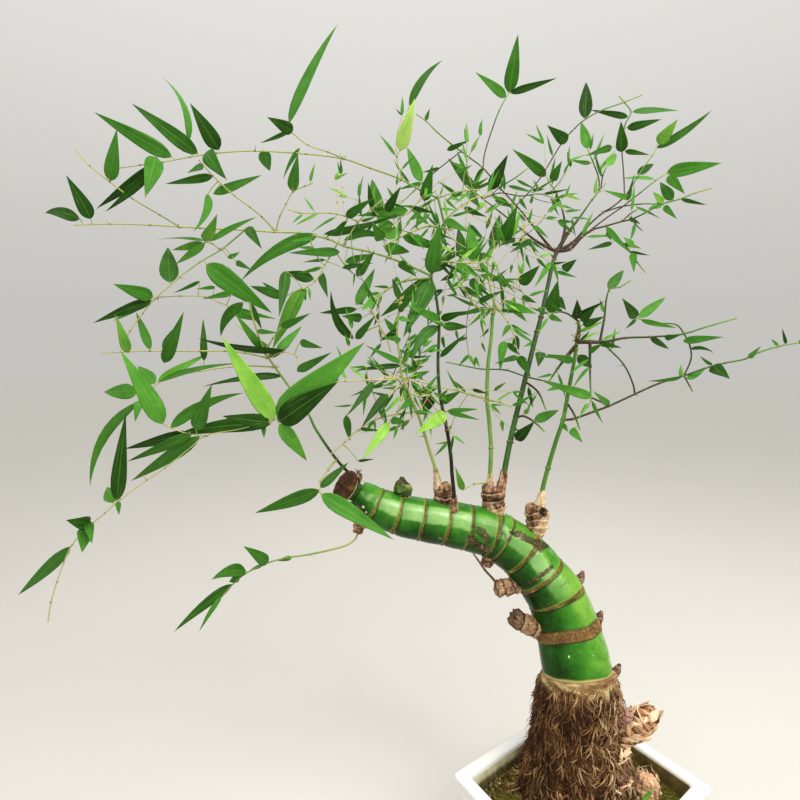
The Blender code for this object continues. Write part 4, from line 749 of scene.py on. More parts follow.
soilValues = {
    "foot": 0.0123, "top": 0.099, "bump": 0.0022, "gap": 0.0003, "rings": 64, "around": 180, "cornerSteps": 12,
    "rootFoot": Vector((-0.001, 0.008, 0.086)),
    # what is strewn over it: how dense, how fine its patches are, its smallest and largest radius in metres
    "grit": {"Density": 150000.0, "Patches": 18.0, "Smallest": 0.0006, "Largest": 0.0021, "Seed": 3},
    "straw": {"Density": 14000.0, "Patches": 30.0, "Smallest": 0.00025, "Largest": 0.0006, "Seed": 8},
    "moss": {"Density": 620000.0, "Patches": 34.0, "Smallest": 0.00018, "Largest": 0.00042, "Seed": 5},
}


def soilHeight(x, y):
    along, aside = x / 0.011, y / 0.011
    waves = math.sin(along * 1.7 + aside * 0.9) + math.sin(aside * 2.3 - along * 1.1 + 1.3)
    waves += math.sin(along * 3.1 + 2.1) * math.sin(aside * 2.9 + 0.4)
    crumbs = 0.9 * rough((x, y, 0), 5.0) + 0.55 * rough((x, y, 0), 2.2, 4.0)
    return soilValues["top"] + soilValues["bump"] * waves / 3 + crumbs * mm


def soilPaint():
    paint = Paint("damp soil", Roughness=0.92, Specular_IOR_Level=0.06)
    broad, crumbs, dots = paint.spots(26.0, 3.0), paint.spots(260.0, 4.0), paint.spots(700.0, 2.0)
    colour = paint.ramp(crumbs, [(0.30, (0.017, 0.011, 0.002)), (0.50, (0.085, 0.056, 0.010)),
        (0.70, (0.25, 0.175, 0.040))])
    colour = paint.mix((broad + crumbs * 0.3).rise(0.58, 0.78) * 0.75, colour, (0.075, 0.085, 0.010))
    colour = paint.mix(dots.rise(0.66, 0.72) * 0.8, colour, (0.36, 0.25, 0.11))
    paint.feed("Base Color", colour)
    paint.relief(crumbs + dots * 0.4, 0.002, 0.8)
    return paint.material


# colour by the piece's tone
def tonePaint(name, stops, scale, roughness, depth=0.0005, stretch=(1, 1, 1), detail=3.0):
    paint = Paint(name, Specular_IOR_Level=0.2)
    grain = paint.spots(scale, detail, stretch)
    tone = paint.attribute("tone") + (grain - 0.5) * 0.5
    paint.feed("Base Color", paint.ramp(tone, stops))
    paint.feed("Roughness", roughness + (grain - 0.5) * 0.3)
    paint.relief(grain, depth, 0.7)
    return paint.material


def makeSoil():
    edge = [potOutline(innerInset(height) + soilValues["gap"] * 1.3, height, soilValues["cornerSteps"])
        for height in (soilValues["foot"], 0.060, soilValues["top"] - 0.002)]
    outer, centre = np.array(edge[-1]), np.array(soilValues["rootFoot"])
    rings = edge[:]
    for row in range(1, soilValues["rings"]):
        share = 1 - row / soilValues["rings"]
        ring = centre + (outer - centre) * share
        rings.append([(x, y, soilHeight(x, y) - 0.001 * smoothStep(share, 0.97, 1.0)) for x, y, _ in ring])
    even = []
    for ring in rings:  # even steps round the ring, so that the crumbs are alike along the straight sides
        closed = np.vstack([ring, ring[:1]])
        runs = lengthsOf(closed)
        at = np.linspace(0, runs[-1], soilValues["around"], endpoint=False)
        even.append(np.stack([np.interp(at, runs, closed[:, k]) for k in range(3)], axis=-1))
    for ring in even[4:]:
        ring[:, 2] = [soilHeight(x, y) for x, y in ring[:, :2]]
    piece = addPiece("soil_crumbs", ringMesh("soil_crumbs", np.array(even)), soilPaint())
    settle(piece, "soil", "soil")

    cone = {"kind": "GeometryNodeMeshCone", "rough": False, "shape": (1.0, 1.0, 1.0)}
    forms = {
        "grit": {"kind": "GeometryNodeMeshIcoSphere", "values": {"Radius": 1.0, "Subdivisions": 1}, "rough": True,
            "shape": (1.0, 0.75, 0.6), "leanLow": (-3.0, -3.0, -3.0), "leanHigh": (3.0, 3.0, 3.0), "smooth": False},
        "straw": {**cone, "values": {"Vertices": 5, "Radius Top": 0.6, "Radius Bottom": 1.0, "Depth": 16.0},
            "leanLow": (1.35, -0.2, -3.2), "leanHigh": (1.75, 0.2, 3.2), "smooth": False},
        "moss": {**cone, "values": {"Vertices": 3, "Radius Top": 0.08, "Radius Bottom": 1.0, "Depth": 7.0},
            "leanLow": (-0.6, -0.6, -3.0), "leanHigh": (0.6, 0.6, 3.0), "smooth": True},
    }
    paints = {
        "grit": tonePaint("grit", [(0.0, (0.015, 0.010, 0.006)), (0.5, (0.055, 0.035, 0.020)),
            (0.78, (0.16, 0.10, 0.05)), (1.0, (0.42, 0.31, 0.19))], 300.0, 0.85),
        "straw": tonePaint("straw", [(0.0, (0.10, 0.055, 0.02)), (0.6, (0.34, 0.22, 0.09)),
            (1.0, (0.55, 0.42, 0.22))], 200.0, 0.7),
        "moss": tonePaint("moss", [(0.0, (0.020, 0.035, 0.006)), (0.5, (0.065, 0.10, 0.012)),
            (1.0, (0.20, 0.24, 0.03))], 90.0, 0.8),
    }
    for name, form in forms.items():
        tree = makeScatterTree("soil_" + name, form)
        bits = grown("soil_" + name, piece.data, tree, Material=paints[name], **soilValues[name])
        settle(bits, "soil")
        print("  ", bits.name, len(bits.data.polygons), "faces")


# Root clump: matted dark roots under many hanging strands

clumpValues = {
    "foot": Vector((-0.001, 0.008, 0.0860)), "wide": 0.060, "deep": 0.045, "ridge": 0.030,
    "profile": [(0.0, 1.0), (0.088, 1.0), (0.13, 0.99), (0.22, 0.93), (0.33, 0.86), (0.46, 0.80), (0.58, 0.735),
        (0.70, 0.70), (0.82, 0.69), (0.91, 0.67), (0.96, 0.64), (1.0, 0.60)],
    "tall": 0.159, "sides": 132, "steps": 5, "wave": 0.17,
    # hanging roots: how many, where they start from foot to top, length and half thickness, how far they stand
    # off, and by how much less from some height on
    "strands": {"count": 2700, "part": (0.06, 0.955), "long": (0.007, 0.017), "thick": (0.38, 0.92),
        "flare": (0.2, 1.1), "calm": (0.88, 0.6)},
    "hairs": {"count": 3400, "part": (0.04, 0.985), "long": (0.005, 0.017), "thick": (0.14, 0.30),
        "flare": (0.3, 1.6), "calm": (0.85, 0.55)},
    # roots that run out over the soil
    "spreading": 150, "spreadLong": (0.006, 0.020), "spreadThick": (0.3, 0.8), "spreadSteps": 6,
}
clumpTop = onSheet(*trunkDrawn[0][:3])
clumpLean = (onSheet(*trunkDrawn[1][:3]) - clumpTop).normalized()


def clumpPoint(turn, part, lift=0.0):
    centre = clumpValues["foot"].lerp(clumpTop, part)
    up = Vector((0, 0, 1)).lerp(clumpLean, min(part * part, 1.0)).normalized()
    deep = clumpValues["deep"] + (clumpValues["wide"] - clumpValues["deep"]) * part
    scale = float(np.interp(part, *zip(*clumpValues["profile"])))
    swell = scale * (1 + clumpValues["ridge"] * math.sin(5 * turn + 7 * part) * math.sin(3 * turn + 1.0))
    x = (clumpValues["wide"] * swell + lift) * math.cos(turn)
    y = (deep * swell + lift) * math.sin(turn)
    return centre + Vector((x, y, -(x * up.x + y * up.y) / up.z))


def clumpPaint():
    paint = Paint("matted roots", Roughness=0.88, Specular_IOR_Level=0.15)
    fibres, clods = paint.spots(80.0, 5.0, (1, 1, 0.3)), paint.spots(26.0, 3.0)
    patches = paint.spots(45.0, 3.0, (1, 1, 3.0))
    top, moss = paint.attribute("top"), paint.attribute("moss")
    colour = paint.ramp(fibres, [(0.28, (0.008, 0.003, 0.001)), (0.5, (0.042, 0.017, 0.006)),
        (0.72, (0.15, 0.072, 0.028))])
    colour = paint.mix(moss * clods.rise(0.45, 0.65) * 0.8, colour, (0.060, 0.062, 0.012))
    colour = paint.mix(top * 0.8, colour, paint.ramp(patches,
        [(0.35, (0.14, 0.068, 0.024)), (0.48, (0.32, 0.19, 0.075)), (0.58, (0.66, 0.50, 0.24))]))
    paint.feed("Base Color", colour)
    paint.relief(fibres + patches * top, 0.003, 0.8)
    return paint.material


def strandPath(draw, turn, part, long, thick, flare, tone):
    steps = clumpValues["steps"]
    heading, curl = draw.gauss(0, 0.34), draw.gauss(0, clumpValues["wave"])
    heading += 1.3 * ringNoise(turn, 2.8, part * 8.0)  # neighbours lie in locks
    patch = ringNoise(turn, 3.6, part * 9.0 + 5.0)
    flare *= max(1 + 1.6 * patch, 0.2)
    # painted light and shade: strands on the right side are lighter, those on the left side darker
    tone = tone * (0.82 + 0.36 * math.cos(turn)) + 0.30 * patch
    stride = long / steps
    points = []
    for step in range(steps + 1):
        share = step / steps
        lift = (-0.7 + 2.4 * math.sin(share * math.pi * 0.8) * flare + flare * 1.8 * share ** 2) * mm
        here = clumpPoint(turn, part, lift)
        points.append(tuple(here))
        around = math.hypot(here.x - clumpValues["foot"].x, here.y - clumpValues["foot"].y)
        turn += math.sin(heading) * stride / max(around, 0.02)
        part = max(part - math.cos(heading) * stride / clumpValues["tall"], -0.02)
        heading += curl
    half = np.interp(np.linspace(0, 1, steps + 1), [0, 0.35, 1.0], [thick * 0.8, thick, thick * 0.25])
    return {"points": np.array(points), "half": half, "tone": tone}


def makeClump():
    draw = random.Random(12)
    parts = np.concatenate([np.linspace(0, 0.97, 76), [0.985, 1.0]])
    sides = clumpValues["sides"]
    rings = np.zeros((len(parts), sides, 3))
    top, moss = np.zeros((len(parts), sides)), np.zeros((len(parts), sides))
    for row, part in enumerate(parts):
        for k in range(sides):
            turn = math.tau * k / sides
            ridges, lumps = ringNoise(turn, 7, part * 4), ringNoise(turn, 3, part * 9)
            lift = (1.8 * ridges + 1.6 * lumps - 0.8) * mm * (1 - smoothStep(part, 0.93, 1.0))
            rings[row, k] = clumpPoint(turn, part, lift)
            top[row, k] = smoothStep(part + 0.03 * ridges, 0.885, 0.935)
            moss[row, k] = 1 - smoothStep(part + 0.12 * lumps, 0.10, 0.40)
    base = addPiece("root_clump", ringMesh("root_clump", rings, {"top": top, "moss": moss}), clumpPaint())
    settle(base, "roots", "root_mass")

    def hanging(values, toneOf):
        made = []
        for _ in range(values["count"]):
            part = draw.uniform(*values["part"])
            tone = toneOf(part)
            calm = 1.0 if part < values["calm"][0] else values["calm"][1]
            made.append(strandPath(draw, draw.uniform(0, math.tau), part, draw.uniform(*values["long"]),
                draw.uniform(*values["thick"]) * mm, draw.uniform(*values["flare"]) * calm, tone))
        return made

    thick = hanging(clumpValues["strands"], lambda part: (
        draw.uniform(0.05, 0.58) if draw.random() < 0.68 else draw.uniform(0.62, 1.0)))
    fine = hanging(clumpValues["hairs"], lambda part: draw.uniform(0.05, 0.75) + (0.2 if part > 0.88 else 0.0))
    steps = clumpValues["spreadSteps"]
    for _ in range(clumpValues["spreading"]):
        turn, long = draw.uniform(0, math.tau), draw.uniform(*clumpValues["spreadLong"])
        bend = draw.uniform(-0.5, 0.5)
        start = clumpPoint(turn, 0.13, -0.002)
        points = []
        for step in range(steps + 1):
            share = step / steps
            way = turn + bend * share
            x, y = start.x + long * share * math.cos(way), start.y + long * share * math.sin(way)
            height = soilHeight(x, y)
            points.append((x, y, max(height + 0.0004, start.z + (height - start.z) * min(share * 2.2, 1.0))))
        girth = draw.uniform(*clumpValues["spreadThick"]) * mm
        thick.append({"points": np.array(points), "half": np.linspace(girth, girth * 0.3, steps + 1),
            "tone": draw.uniform(0.1, 0.9)})
    material = tonePaint("root strands", [(0.0, (0.020, 0.007, 0.002)), (0.30, (0.125, 0.052, 0.018)),
        (0.55, (0.40, 0.215, 0.090)), (0.78, (0.62, 0.42, 0.21)), (1.0, (0.84, 0.67, 0.41))], 240.0, 0.78, 0.0004)
    settle(skinned("root_strands", thick, material, sides=5), "roots", "root_mass")
    settle(skinned("root_hairs", fine, material, sides=4), "roots", "root_mass")


# Old stem: glossy green rind with a thin brown ring at each joint

trunkValues = {
    "sides": 128, "spacing": 0.9, "joints": (2, 13),  # the drawn rows that bear a ring
    "barrel": 1.05, "ridge": 0.75, "groove": 0.7, "wave": 1.1, "ring": 1.15, "wideRing": 1.9, "wideRings": (1, 2, 3),
    # where the painted light comes from for the lit and shaded sides, for the painted highlight band and for the
    # painted highlight on the right side, and how strong the painted highlight band is piece by piece from the foot
    "sun": (0.72, -0.12, 0.68), "bandSun": (-0.05, -0.83, 0.56), "sideSun": (0.95, -0.28, 0.12),
    "paintedSheen": (1.0, 1.0, 1.0, 0.95, 0.6, 0.8, 0.35, 0.85, 1.0, 0.9, 1.0, 0.7),
    "bandUp": 3.0, "bandWide": 6.4, "bandOut": 1.2,
    # rough crusts, from one place to another: across and down twice, size, strength. Pale chips: across, down, size
    "scars": [(471, 541, 486, 549, 6.5, 0.95), (478, 530, 490, 541, 4.5, 0.8), (473, 526, 484, 531, 3.2, 0.75),
        (512, 532, 546, 546, 4.2, 1.0), (533, 540, 541, 549, 4.5, 0.85), (530, 583, 552, 567, 2.8, 0.85),
        (357, 506, 364, 511, 3.2, 0.85), (556, 589, 567, 582, 2.6, 0.6), (573, 651, 576, 651, 2.2, 0.6),
        (503, 530, 508, 541, 3.0, 0.6), (388, 514, 391, 511, 2.2, 0.5), (435, 515, 438, 520, 2.5, 0.5),
        (545, 606, 552, 602, 2.6, 0.5), (440, 538, 452, 541, 2.4, 0.5)],
    "chips": [(569, 657, 1.2), (363, 507, 1.5), (366, 512, 1.1), (571, 564, 1.0), (593, 655, 0.6)],
}


def rindPaint():
    paint = Paint("green rind", Specular_IOR_Level=0.09, Coat_Weight=0.3, Coat_Roughness=0.13, Coat_IOR=1.45)
    names = ("ring", "groove", "line", "scar", "band", "edge", "foot", "sunny", "bleached", "chip")
    ring, groove, line, scar, band, edge, foot, sunny, bleached, chip = (paint.attribute(name) for name in names)
    broad, streaks = paint.spots(18.0, 4.0), paint.spots(75.0, 4.0)
    fine, flecks = paint.spots(420.0, 3.0), paint.spots(900.0, 1.0)
    # sunny is painted light and shade: lighter green on the side towards the light, darker away from it
    tone = broad * 0.55 + streaks * 0.35 + sunny * 0.42 - 0.02
    colour = paint.ramp(tone, [(0.30, (0.005, 0.018, 0.001)), (0.46, (0.010, 0.056, 0.004)),
        (0.62, (0.024, 0.135, 0.010)), (0.80, (0.060, 0.245, 0.020)), (1.0, (0.20, 0.42, 0.050))])
    # a painted highlight: the lit band and the lit right side are painted pale green
    pale = (bleached * (0.7 + streaks * 0.6) + (fine - 0.5) * 0.4 * bleached).most(1.0)
    colour = paint.mix(pale * 0.70, colour, (0.36, 0.62, 0.21))
    colour = paint.mix(fine.rise(0.58, 0.72) * 0.35, colour, (0.006, 0.045, 0.004))
    colour = paint.mix(flecks.rise(0.66, 0.74) * 0.25, colour, (0.22, 0.38, 0.10))
    colour = paint.mix(line * 0.60, colour, (0.22, 0.30, 0.045))
    # painted shade: the groove beside each ring is painted near black
    colour = paint.mix(groove * 0.85, colour, (0.008, 0.014, 0.003))
    bark = streaks * 0.5 + fine * 0.5
    brown = paint.ramp(bark, [(0.32, (0.026, 0.013, 0.004)), (0.45, (0.115, 0.068, 0.018)),
        (0.56, (0.25, 0.165, 0.048)), (0.70, (0.46, 0.35, 0.15))])
    brownRing = (ring + (fine - 0.5) * 0.8 + (streaks - 0.5) * 0.5).rise(0.30, 0.75)
    colour = paint.mix(brownRing * 0.9, colour, brown)
    crust = (scar + (streaks - 0.5) * 1.1 + (fine - 0.5) * 0.8).rise(0.42, 0.78)
    colour = paint.mix(crust * 0.9, colour, paint.ramp(bark, [(0.36, (0.014, 0.007, 0.004)),
        (0.48, (0.050, 0.030, 0.014)), (0.57, (0.13, 0.085, 0.052)), (0.68, (0.42, 0.34, 0.28))]))
    colour = paint.mix(band, colour, paint.mix(broad.rise(0.40, 0.62) * 0.6, brown, (0.20, 0.085, 0.040)))
    colour = paint.mix(edge * 0.8, colour, (0.030, 0.014, 0.006))
    colour = paint.mix(chip.rise(0.35, 0.6), colour, (0.66, 0.62, 0.42))
    colour = paint.mix(foot, colour, (0.56, 0.46, 0.19))
    paint.feed("Base Color", colour)
    dull = brownRing.least(crust).least(band).least(foot)
    paint.feed("Roughness", 0.20 + streaks * 0.14 + dull * 0.5)
    paint.feed("Coat Weight", (0.05 + pale * 0.80) * (1.0 - dull))
    paint.relief(streaks * 0.25 + fine * (0.05 + dull * 0.5) + dull * streaks * 0.6, 0.0012, 0.6)
    return paint.material


def makeTrunk():
    path, knots = smoothRows(sheetRows(trunkDrawn), trunkValues["spacing"] * mm)
    knotRuns = lengthsOf(path)[knots] / mm
    joints = list(knotRuns[slice(*trunkValues["joints"])])
    edges = [0.0] + joints + [knotRuns[-1]]
    sun, bandSun, sideSun = (Vector(trunkValues[way]).normalized() for way in ("sun", "bandSun", "sideSun"))

    def rule(run, share, turn, place, outward):
        around = Vector((math.cos(turn), math.sin(turn), 0))
        near = min(joints, key=lambda joint: abs(run - joint))
        number = joints.index(near)
        off = run - near + trunkValues["wave"] * noise.noise(around * 1.3 + Vector((0, 0, number * 3.1)))
        ragged = noise.noise(around * 5.0 + Vector((0, 0, number * 2.3)))
        wide = number in trunkValues["wideRings"]
        width = trunkValues["wideRing" if wide else "ring"] * (1 + 0.45 * ragged)
        low = max(edge for edge in edges if edge <= run + 1e-6)
        high = min([edge for edge in edges if edge > run + 1e-6], default=edges[-1] + 1.0)
        inside = min(max((run - low) / (high - low), 0.0), 1.0)
        extra = trunkValues["barrel"] * ((4 * inside * (1 - inside)) ** 0.6 - 0.6)
        ring = 1 - smoothStep(abs(off) / width, 0.65, 1.45)
        groove = math.exp(-((off + width + 0.9) / 0.7) ** 2)
        line = math.exp(-((off - width - 0.9) / 0.8) ** 2)
        band = edge = 0.0
        if number == 0:
            across = (off - trunkValues["bandUp"] + 1.6 * noise.noise(around * 1.2 + Vector((3.0, 0, 0)))
                + 0.7 * ragged) / trunkValues["bandWide"]
            band = 1 - smoothStep(abs(across), 0.88, 1.0)
            edge = math.exp(-((abs(across) - 0.93) / 0.10) ** 2)
            ring = groove = line = 0.0
        extra += trunkValues["ridge"] * ring - trunkValues["groove"] * groove + 0.15 * line
        extra += ring * 0.4 * rough(place, 2.0, 6.0)
        extra += 0.45 * rough(place, 26.0) + 0.1 * rough(place, 7.0)
        extra += band * (trunkValues["bandOut"] + 0.5 * rough(place, 3.5) + 0.4 * rough(place, 1.6, 3.0)) - edge * 0.4
        scar = chip = 0.0
        across, down = toSheet(place)
        facing = outward.dot(aheadWay) < 0.25
        for x, y, toX, toY, size, strength in trunkValues["scars"]:
            part = ((across - x) * (toX - x) + (down - y) * (toY - y)) / ((toX - x) ** 2 + (toY - y) ** 2)
            part = min(max(part, 0.0), 1.0)
            away = math.hypot(across - x - (toX - x) * part, down - y - (toY - y) * part) / size
            away += 0.5 * rough(place, 7.0, x) + 0.4 * rough(place, 2.5, y)
            if away < 1.3 and facing:
                scar = max(scar, strength * (1 - smoothStep(away, 0.35, 1.3)))
        if 0 < number < 6:  # rough brown smears beside the rings
            smear = 0.8 * math.exp(-((off + 1.0) / 3.2) ** 2)
            scar = max(scar, smear * smoothStep(rough(place, 11.0, 5.0), 0.05, 0.40))
        for x, y, size in trunkValues["chips"]:
            away = math.hypot(across - x, (down - y) * 0.8) / size
            if away < 1.5 and facing:
                chip = max(chip, 1 - smoothStep(away + 0.5 * rough(place, 1.5), 0.5, 1.2))
        if not facing:  # the far side has rough patches of its own
            scar = smoothStep(rough(place, 34.0, 8.0), 0.30, 0.55) * 0.85
        extra += scar * (0.5 * rough(place, 4.0, 7.0) + 0.35 * rough(place, 1.8, 2.0) - 0.3) + chip * 0.2
        foot = 1 - smoothStep(run + 1.4 * noise.noise(around * 2), 1.6, 3.4)
        lying = smoothStep(run, 70, 115)  # 0 where the stem stands, 1 where it lies
        # painted light and shade: lighter where the rind faces the light, darker on the far side and where the stem
        # lies
        sunny = smoothStep(outward.dot(sun), -0.45 - 0.20 * lying, 0.95 + 0.10 * lying)
        sunny *= 1.05 + 0.28 * smoothStep(run, 32, 46) - 0.33 * lying
        # the top is shaded by the leaves
        sunny -= 0.48 * lying * smoothStep(outward.z + 0.06 * rough(place, 14.0, 6.0), 0.76, 0.93)
        # a painted highlight: a pale band where the rind faces bandSun, weaker towards each segment's end, and the
        # lit right side
        lit = outward.dot(bandSun) + 0.030 * rough(place, 8.0, 4.0) + 0.012 * rough(place, 2.5, 4.0)
        paintedSheen = trunkValues["paintedSheen"][min(edges.index(low), len(joints))] * (1 - 0.4 * smoothStep(inside, 0.4, 0.95))
        pale = smoothStep(lit, 0.885, 0.925) * lying * paintedSheen
        side = outward.dot(sideSun) + 0.10 * rough(place, 9.0, 2.0)
        pale = max(pale, 0.75 * smoothStep(side, 0.88 - 0.08 * lying, 1.0 - 0.04 * lying))
        return extra, {"ring": ring, "groove": groove, "line": line, "scar": scar, "band": band, "edge": edge,
            "foot": foot, "sunny": sunny, "bleached": pale, "chip": chip}

    ringPiece("trunk_rind", trunkDrawn, trunkValues["sides"], trunkValues["spacing"], rule, rindPaint(),
        "green_stem", "trunk")


# Stubs and buds: short stacks of dry sheaths on the old stem

stubValues = {
    "sides": 60, "spacing": 0.4, "step": 1.7, "slant": 2.0, "neckSides": 48, "neckSpacing": 0.5,
    # how long each sheath is, how light the foot is
    "sheaths": {"stub_left": (7.5, 1.0), "stub_middle": (8.6, 1.0), "stub_right": (7.4, 1.0),
        "stub_lower": (9.0, 0.8), "stub_front": (15.0, 0.2), "stub_under": (6.0, 0.2), "stub_low": (6.5, 0.4),
        "bud_green": (16.0, 1.0), "bud_upper": (7.5, 0.0), "bud_middle": (7.5, 0.3), "bud_lower": (8.0, 0.0)},
    # dark hollows, painted near black as shade: across, down, size, depth
    "recesses": {"stub_right": (544, 512, 5.4, 3.4), "stub_left": (445, 493, 5.5, 0.8),
        "stub_middle": (497, 500, 6.5, 0.6), "stub_front": (516, 618, 3.6, 1.4)},
    # dry papery sheaths round the stems' feet: drawn as across, down, near, radius
    "necks": {"neck_thin": [(438, 489, -40, 4.8), (437, 481, -40, 3.5), (436, 474, -40, 2.7), (435, 467, -40, 2.2)],
        "neck_dark": [(455, 514, -26.6, 3.0), (454.7, 509, -26.5, 3.9), (454.4, 504, -26.4, 3.4),
            (454.1, 498, -26.2, 2.7)],
        "neck_pale": [(490, 492, -46, 4.6), (490, 487, -46, 3.9), (490, 481, -46, 3.3), (490, 475, -46, 2.9)],
        "neck_thick": [(500, 493, -46, 5.6), (501, 486, -46, 4.7), (503, 479, -46, 4.0), (504, 472, -46, 3.5)],
        "neck_right": [(538, 509, -46, 7.0), (540, 503, -46, 5.6), (541, 498, -46, 4.1), (543, 491, -46, 2.9)]},
    "brownNecks": ("neck_dark", "neck_thick"),
}


def sheathPaint(name, stops):
    paint = Paint(name, Specular_IOR_Level=0.25)
    grain, fine, blots = paint.spots(150.0, 4.0), paint.spots(560.0, 3.0), paint.spots(70.0, 3.0)
    lip, dark, pale, rib = (paint.attribute(name) for name in ("lip", "dark", "pale", "rib"))
    colour = paint.ramp(grain * 0.35 + fine * 0.20 + blots * 0.45 + rib * 0.12, stops)
    # painted highlight on the flared rim of each sheath, and painted shade in the crease just above the rim below it
    colour = paint.mix((lip + (fine - 0.5) * 0.5).rise(0.68, 1.0) * 0.55, colour, (0.56, 0.39, 0.22))
    colour = paint.mix((lip + (fine - 0.5) * 0.3).rise(0.34, 0.04) * 0.92, colour, (0.014, 0.006, 0.004))
    colour = paint.mix((pale + (fine - 0.5) * 0.5 + (grain - 0.5) * 0.7).rise(0.30, 0.75) * 0.85, colour,
        paint.ramp(fine * 0.5 + blots * 0.5, [(0.35, (0.52, 0.31, 0.16)), (0.60, (0.86, 0.66, 0.42))]))
    # dark: painted shade in the stubs' hollows; elsewhere the dark tips of some buds and stubs and the darker feet of
    # the root bud and the cut shoot
    colour = paint.mix(dark, colour, (0.009, 0.004, 0.003))
    paint.feed("Base Color", colour)
    paint.feed("Roughness", 0.50 + grain * 0.4)
    paint.relief(grain + fine * 0.6, 0.0012, 0.8)
    return paint.material


def makeStubs():
    brown = sheathPaint("dry sheaths", [(0.36, (0.024, 0.009, 0.004)), (0.46, (0.12, 0.054, 0.023)),
        (0.55, (0.35, 0.195, 0.105)), (0.68, (0.70, 0.48, 0.30))])
    purple = sheathPaint("bud scales", [(0.34, (0.045, 0.016, 0.015)), (0.50, (0.15, 0.065, 0.050)),
        (0.66, (0.40, 0.25, 0.19))])
    olive = sheathPaint("green bud scales", [(0.36, (0.020, 0.045, 0.006)), (0.47, (0.075, 0.14, 0.018)),
        (0.57, (0.17, 0.26, 0.045)), (0.70, (0.34, 0.36, 0.12))])
    for number, (name, drawn) in enumerate(stubsDrawn.items()):
        bud = name.startswith("bud_")
        seed = 3.0 + 1.7 * number
        sheath, foot = stubValues["sheaths"][name]
        slot, material = (
            ("stub", brown) if not bud else ("green_bud", olive) if name == "bud_green" else ("bud", purple))

        def rule(run, share, turn, place, outward):
            around = Vector((math.cos(turn), math.sin(turn), 0))
            slant = math.sin(turn + seed) + 1.2 * noise.noise(around * 1.8 + Vector((0, 0, seed)))
            row = (run + stubValues["slant"] * slant) / sheath
            if bud:  # pointed scales that overlap
                row += 0.6 * abs((turn / math.tau * 2 + 0.5 * math.floor(row) + seed) % 1.0 - 0.5)
            part = row % 1.0
            ragged = 0.12 * noise.noise(around * 6.0 + Vector((0, 0, math.floor(row) * 2.0 + seed)))
            step = stubValues["step"] * (0.55 if bud else 1.0)
            flare = part ** 1.4 if part < 0.90 + ragged else max(1 - part, 0) * 6
            extra = step * (flare - 0.5)
            rib = ringNoise(turn, 5.5, run * 0.09 + seed)
            if not bud:
                extra += 1.0 * rough(place, 8.0, seed) + 0.55 * rough(place, 2.4, seed)
                extra += 0.3 * rough(place, 1.0, seed) + 0.4 * rib
            else:
                extra += 0.4 * rough(place, 6.0, seed) + 0.12 * rough(place, 1.6, seed)
            fade = 1 - smoothStep(share, 0.93, 1.0)
            pale = foot * (1 - smoothStep(share + 0.22 * rough(place, 5.0, seed), 0.20,
                0.62 if foot == 1.0 else 0.42))
            dark = 0.0
            if name in stubValues["recesses"]:
                x, y, wide, deep = stubValues["recesses"][name]
                across, down = toSheet(place)
                flat = 0.9 if name == "stub_right" else 2.6
                away = math.hypot(across - x, (down - y) * flat) / wide + 0.45 * rough(place, 3.5, seed)
                # painted shade: the hollow is painted near black
                dark = 1 - smoothStep(away, 0.55, 1.05) if outward.dot(aheadWay) < 0.1 else 0.0
                dark *= 1.0 if flat < 1 else 0.8
                extra -= dark * deep
            if name == "stub_right":  # its lower right is light and swollen
                across, down = toSheet(place)
                pale = max(pale, smoothStep(across + (down - 521) * 0.8 + 4 * rough(place, 6.0), 536, 545))
            if name == "bud_green":
                dark = 0.70 * smoothStep(share + 0.06 * rough(place, 3.0), 0.74, 0.86)
                pale = foot * (1 - smoothStep(share + 0.15 * rough(place, 3.0), 0.26, 0.42))
                extra += 1.2 * smoothStep(share, 0.40, 0.60) - 1.3 * smoothStep(share, 0.72, 0.80)
                extra -= 1.6 * (1 - smoothStep(share, 0.22, 0.42))
            broken = 3.6 * rib + 1.2 if name == "stub_front" else 1.6 * rough(place, 3.5, seed + 2)
            rugged = smoothStep(share, 0.82, 1.0) * (0.0 if bud else broken)
            if name == "stub_front":
                dark = max(dark, 0.65 * smoothStep(share + 0.25 * rib, 0.80, 1.0))
            return extra * fade, {"lip": part, "dark": dark, "pale": pale, "rib": rib, "ahead": rugged}

        ringPiece(name + "_sheaths", drawn, stubValues["sides"], stubValues["spacing"], rule, material, slot, name)

    papery = sheathPaint("papery sheaths", [(0.36, (0.13, 0.070, 0.032)), (0.47, (0.34, 0.23, 0.13)),
        (0.62, (0.72, 0.62, 0.46))])
    dry = tonePaint("dry twig", [(0.0, (0.030, 0.016, 0.008)), (0.5, (0.13, 0.075, 0.035)),
        (1.0, (0.34, 0.24, 0.13))], 300.0, 0.6)
    twig = jointedPath(sheetRows(lowerTwigDrawn), [2], 0.4, [(0.0, 0.3), (1.0, 0.6)])
    settle(skinned("stub_lower_twig", [twig], dry), "stub", "stub_lower")
    for number, (name, drawn) in enumerate(stubValues["necks"].items()):
        isBrown = name in stubValues["brownNecks"]

        def neckRule(run, share, turn, place, outward):
            fold, wide = ringNoise(turn, 4.5, run * 0.05 + number * 4.0), ringNoise(turn, 1.6, number * 3.0)
            lip = 0.62 + 0.5 * fold + 0.25 * wide
            extra = 0.30 * fold + 0.3 * rough(place, 2.0, number) + 0.9 * (1 - share) * rough(place, 5.0, number)
            torn = smoothStep(share, 0.35, 1.0) * (5.5 * wide + 2.5 * fold)
            pale = 0.1 if isBrown else 0.35 + 0.4 * share
            return extra, {"lip": lip, "dark": 0.0, "pale": pale, "rib": fold, "ahead": torn - share * 0.6}

        ringPiece(name, drawn, stubValues["neckSides"], stubValues["neckSpacing"], neckRule,
            brown if isBrown else papery, "stub")


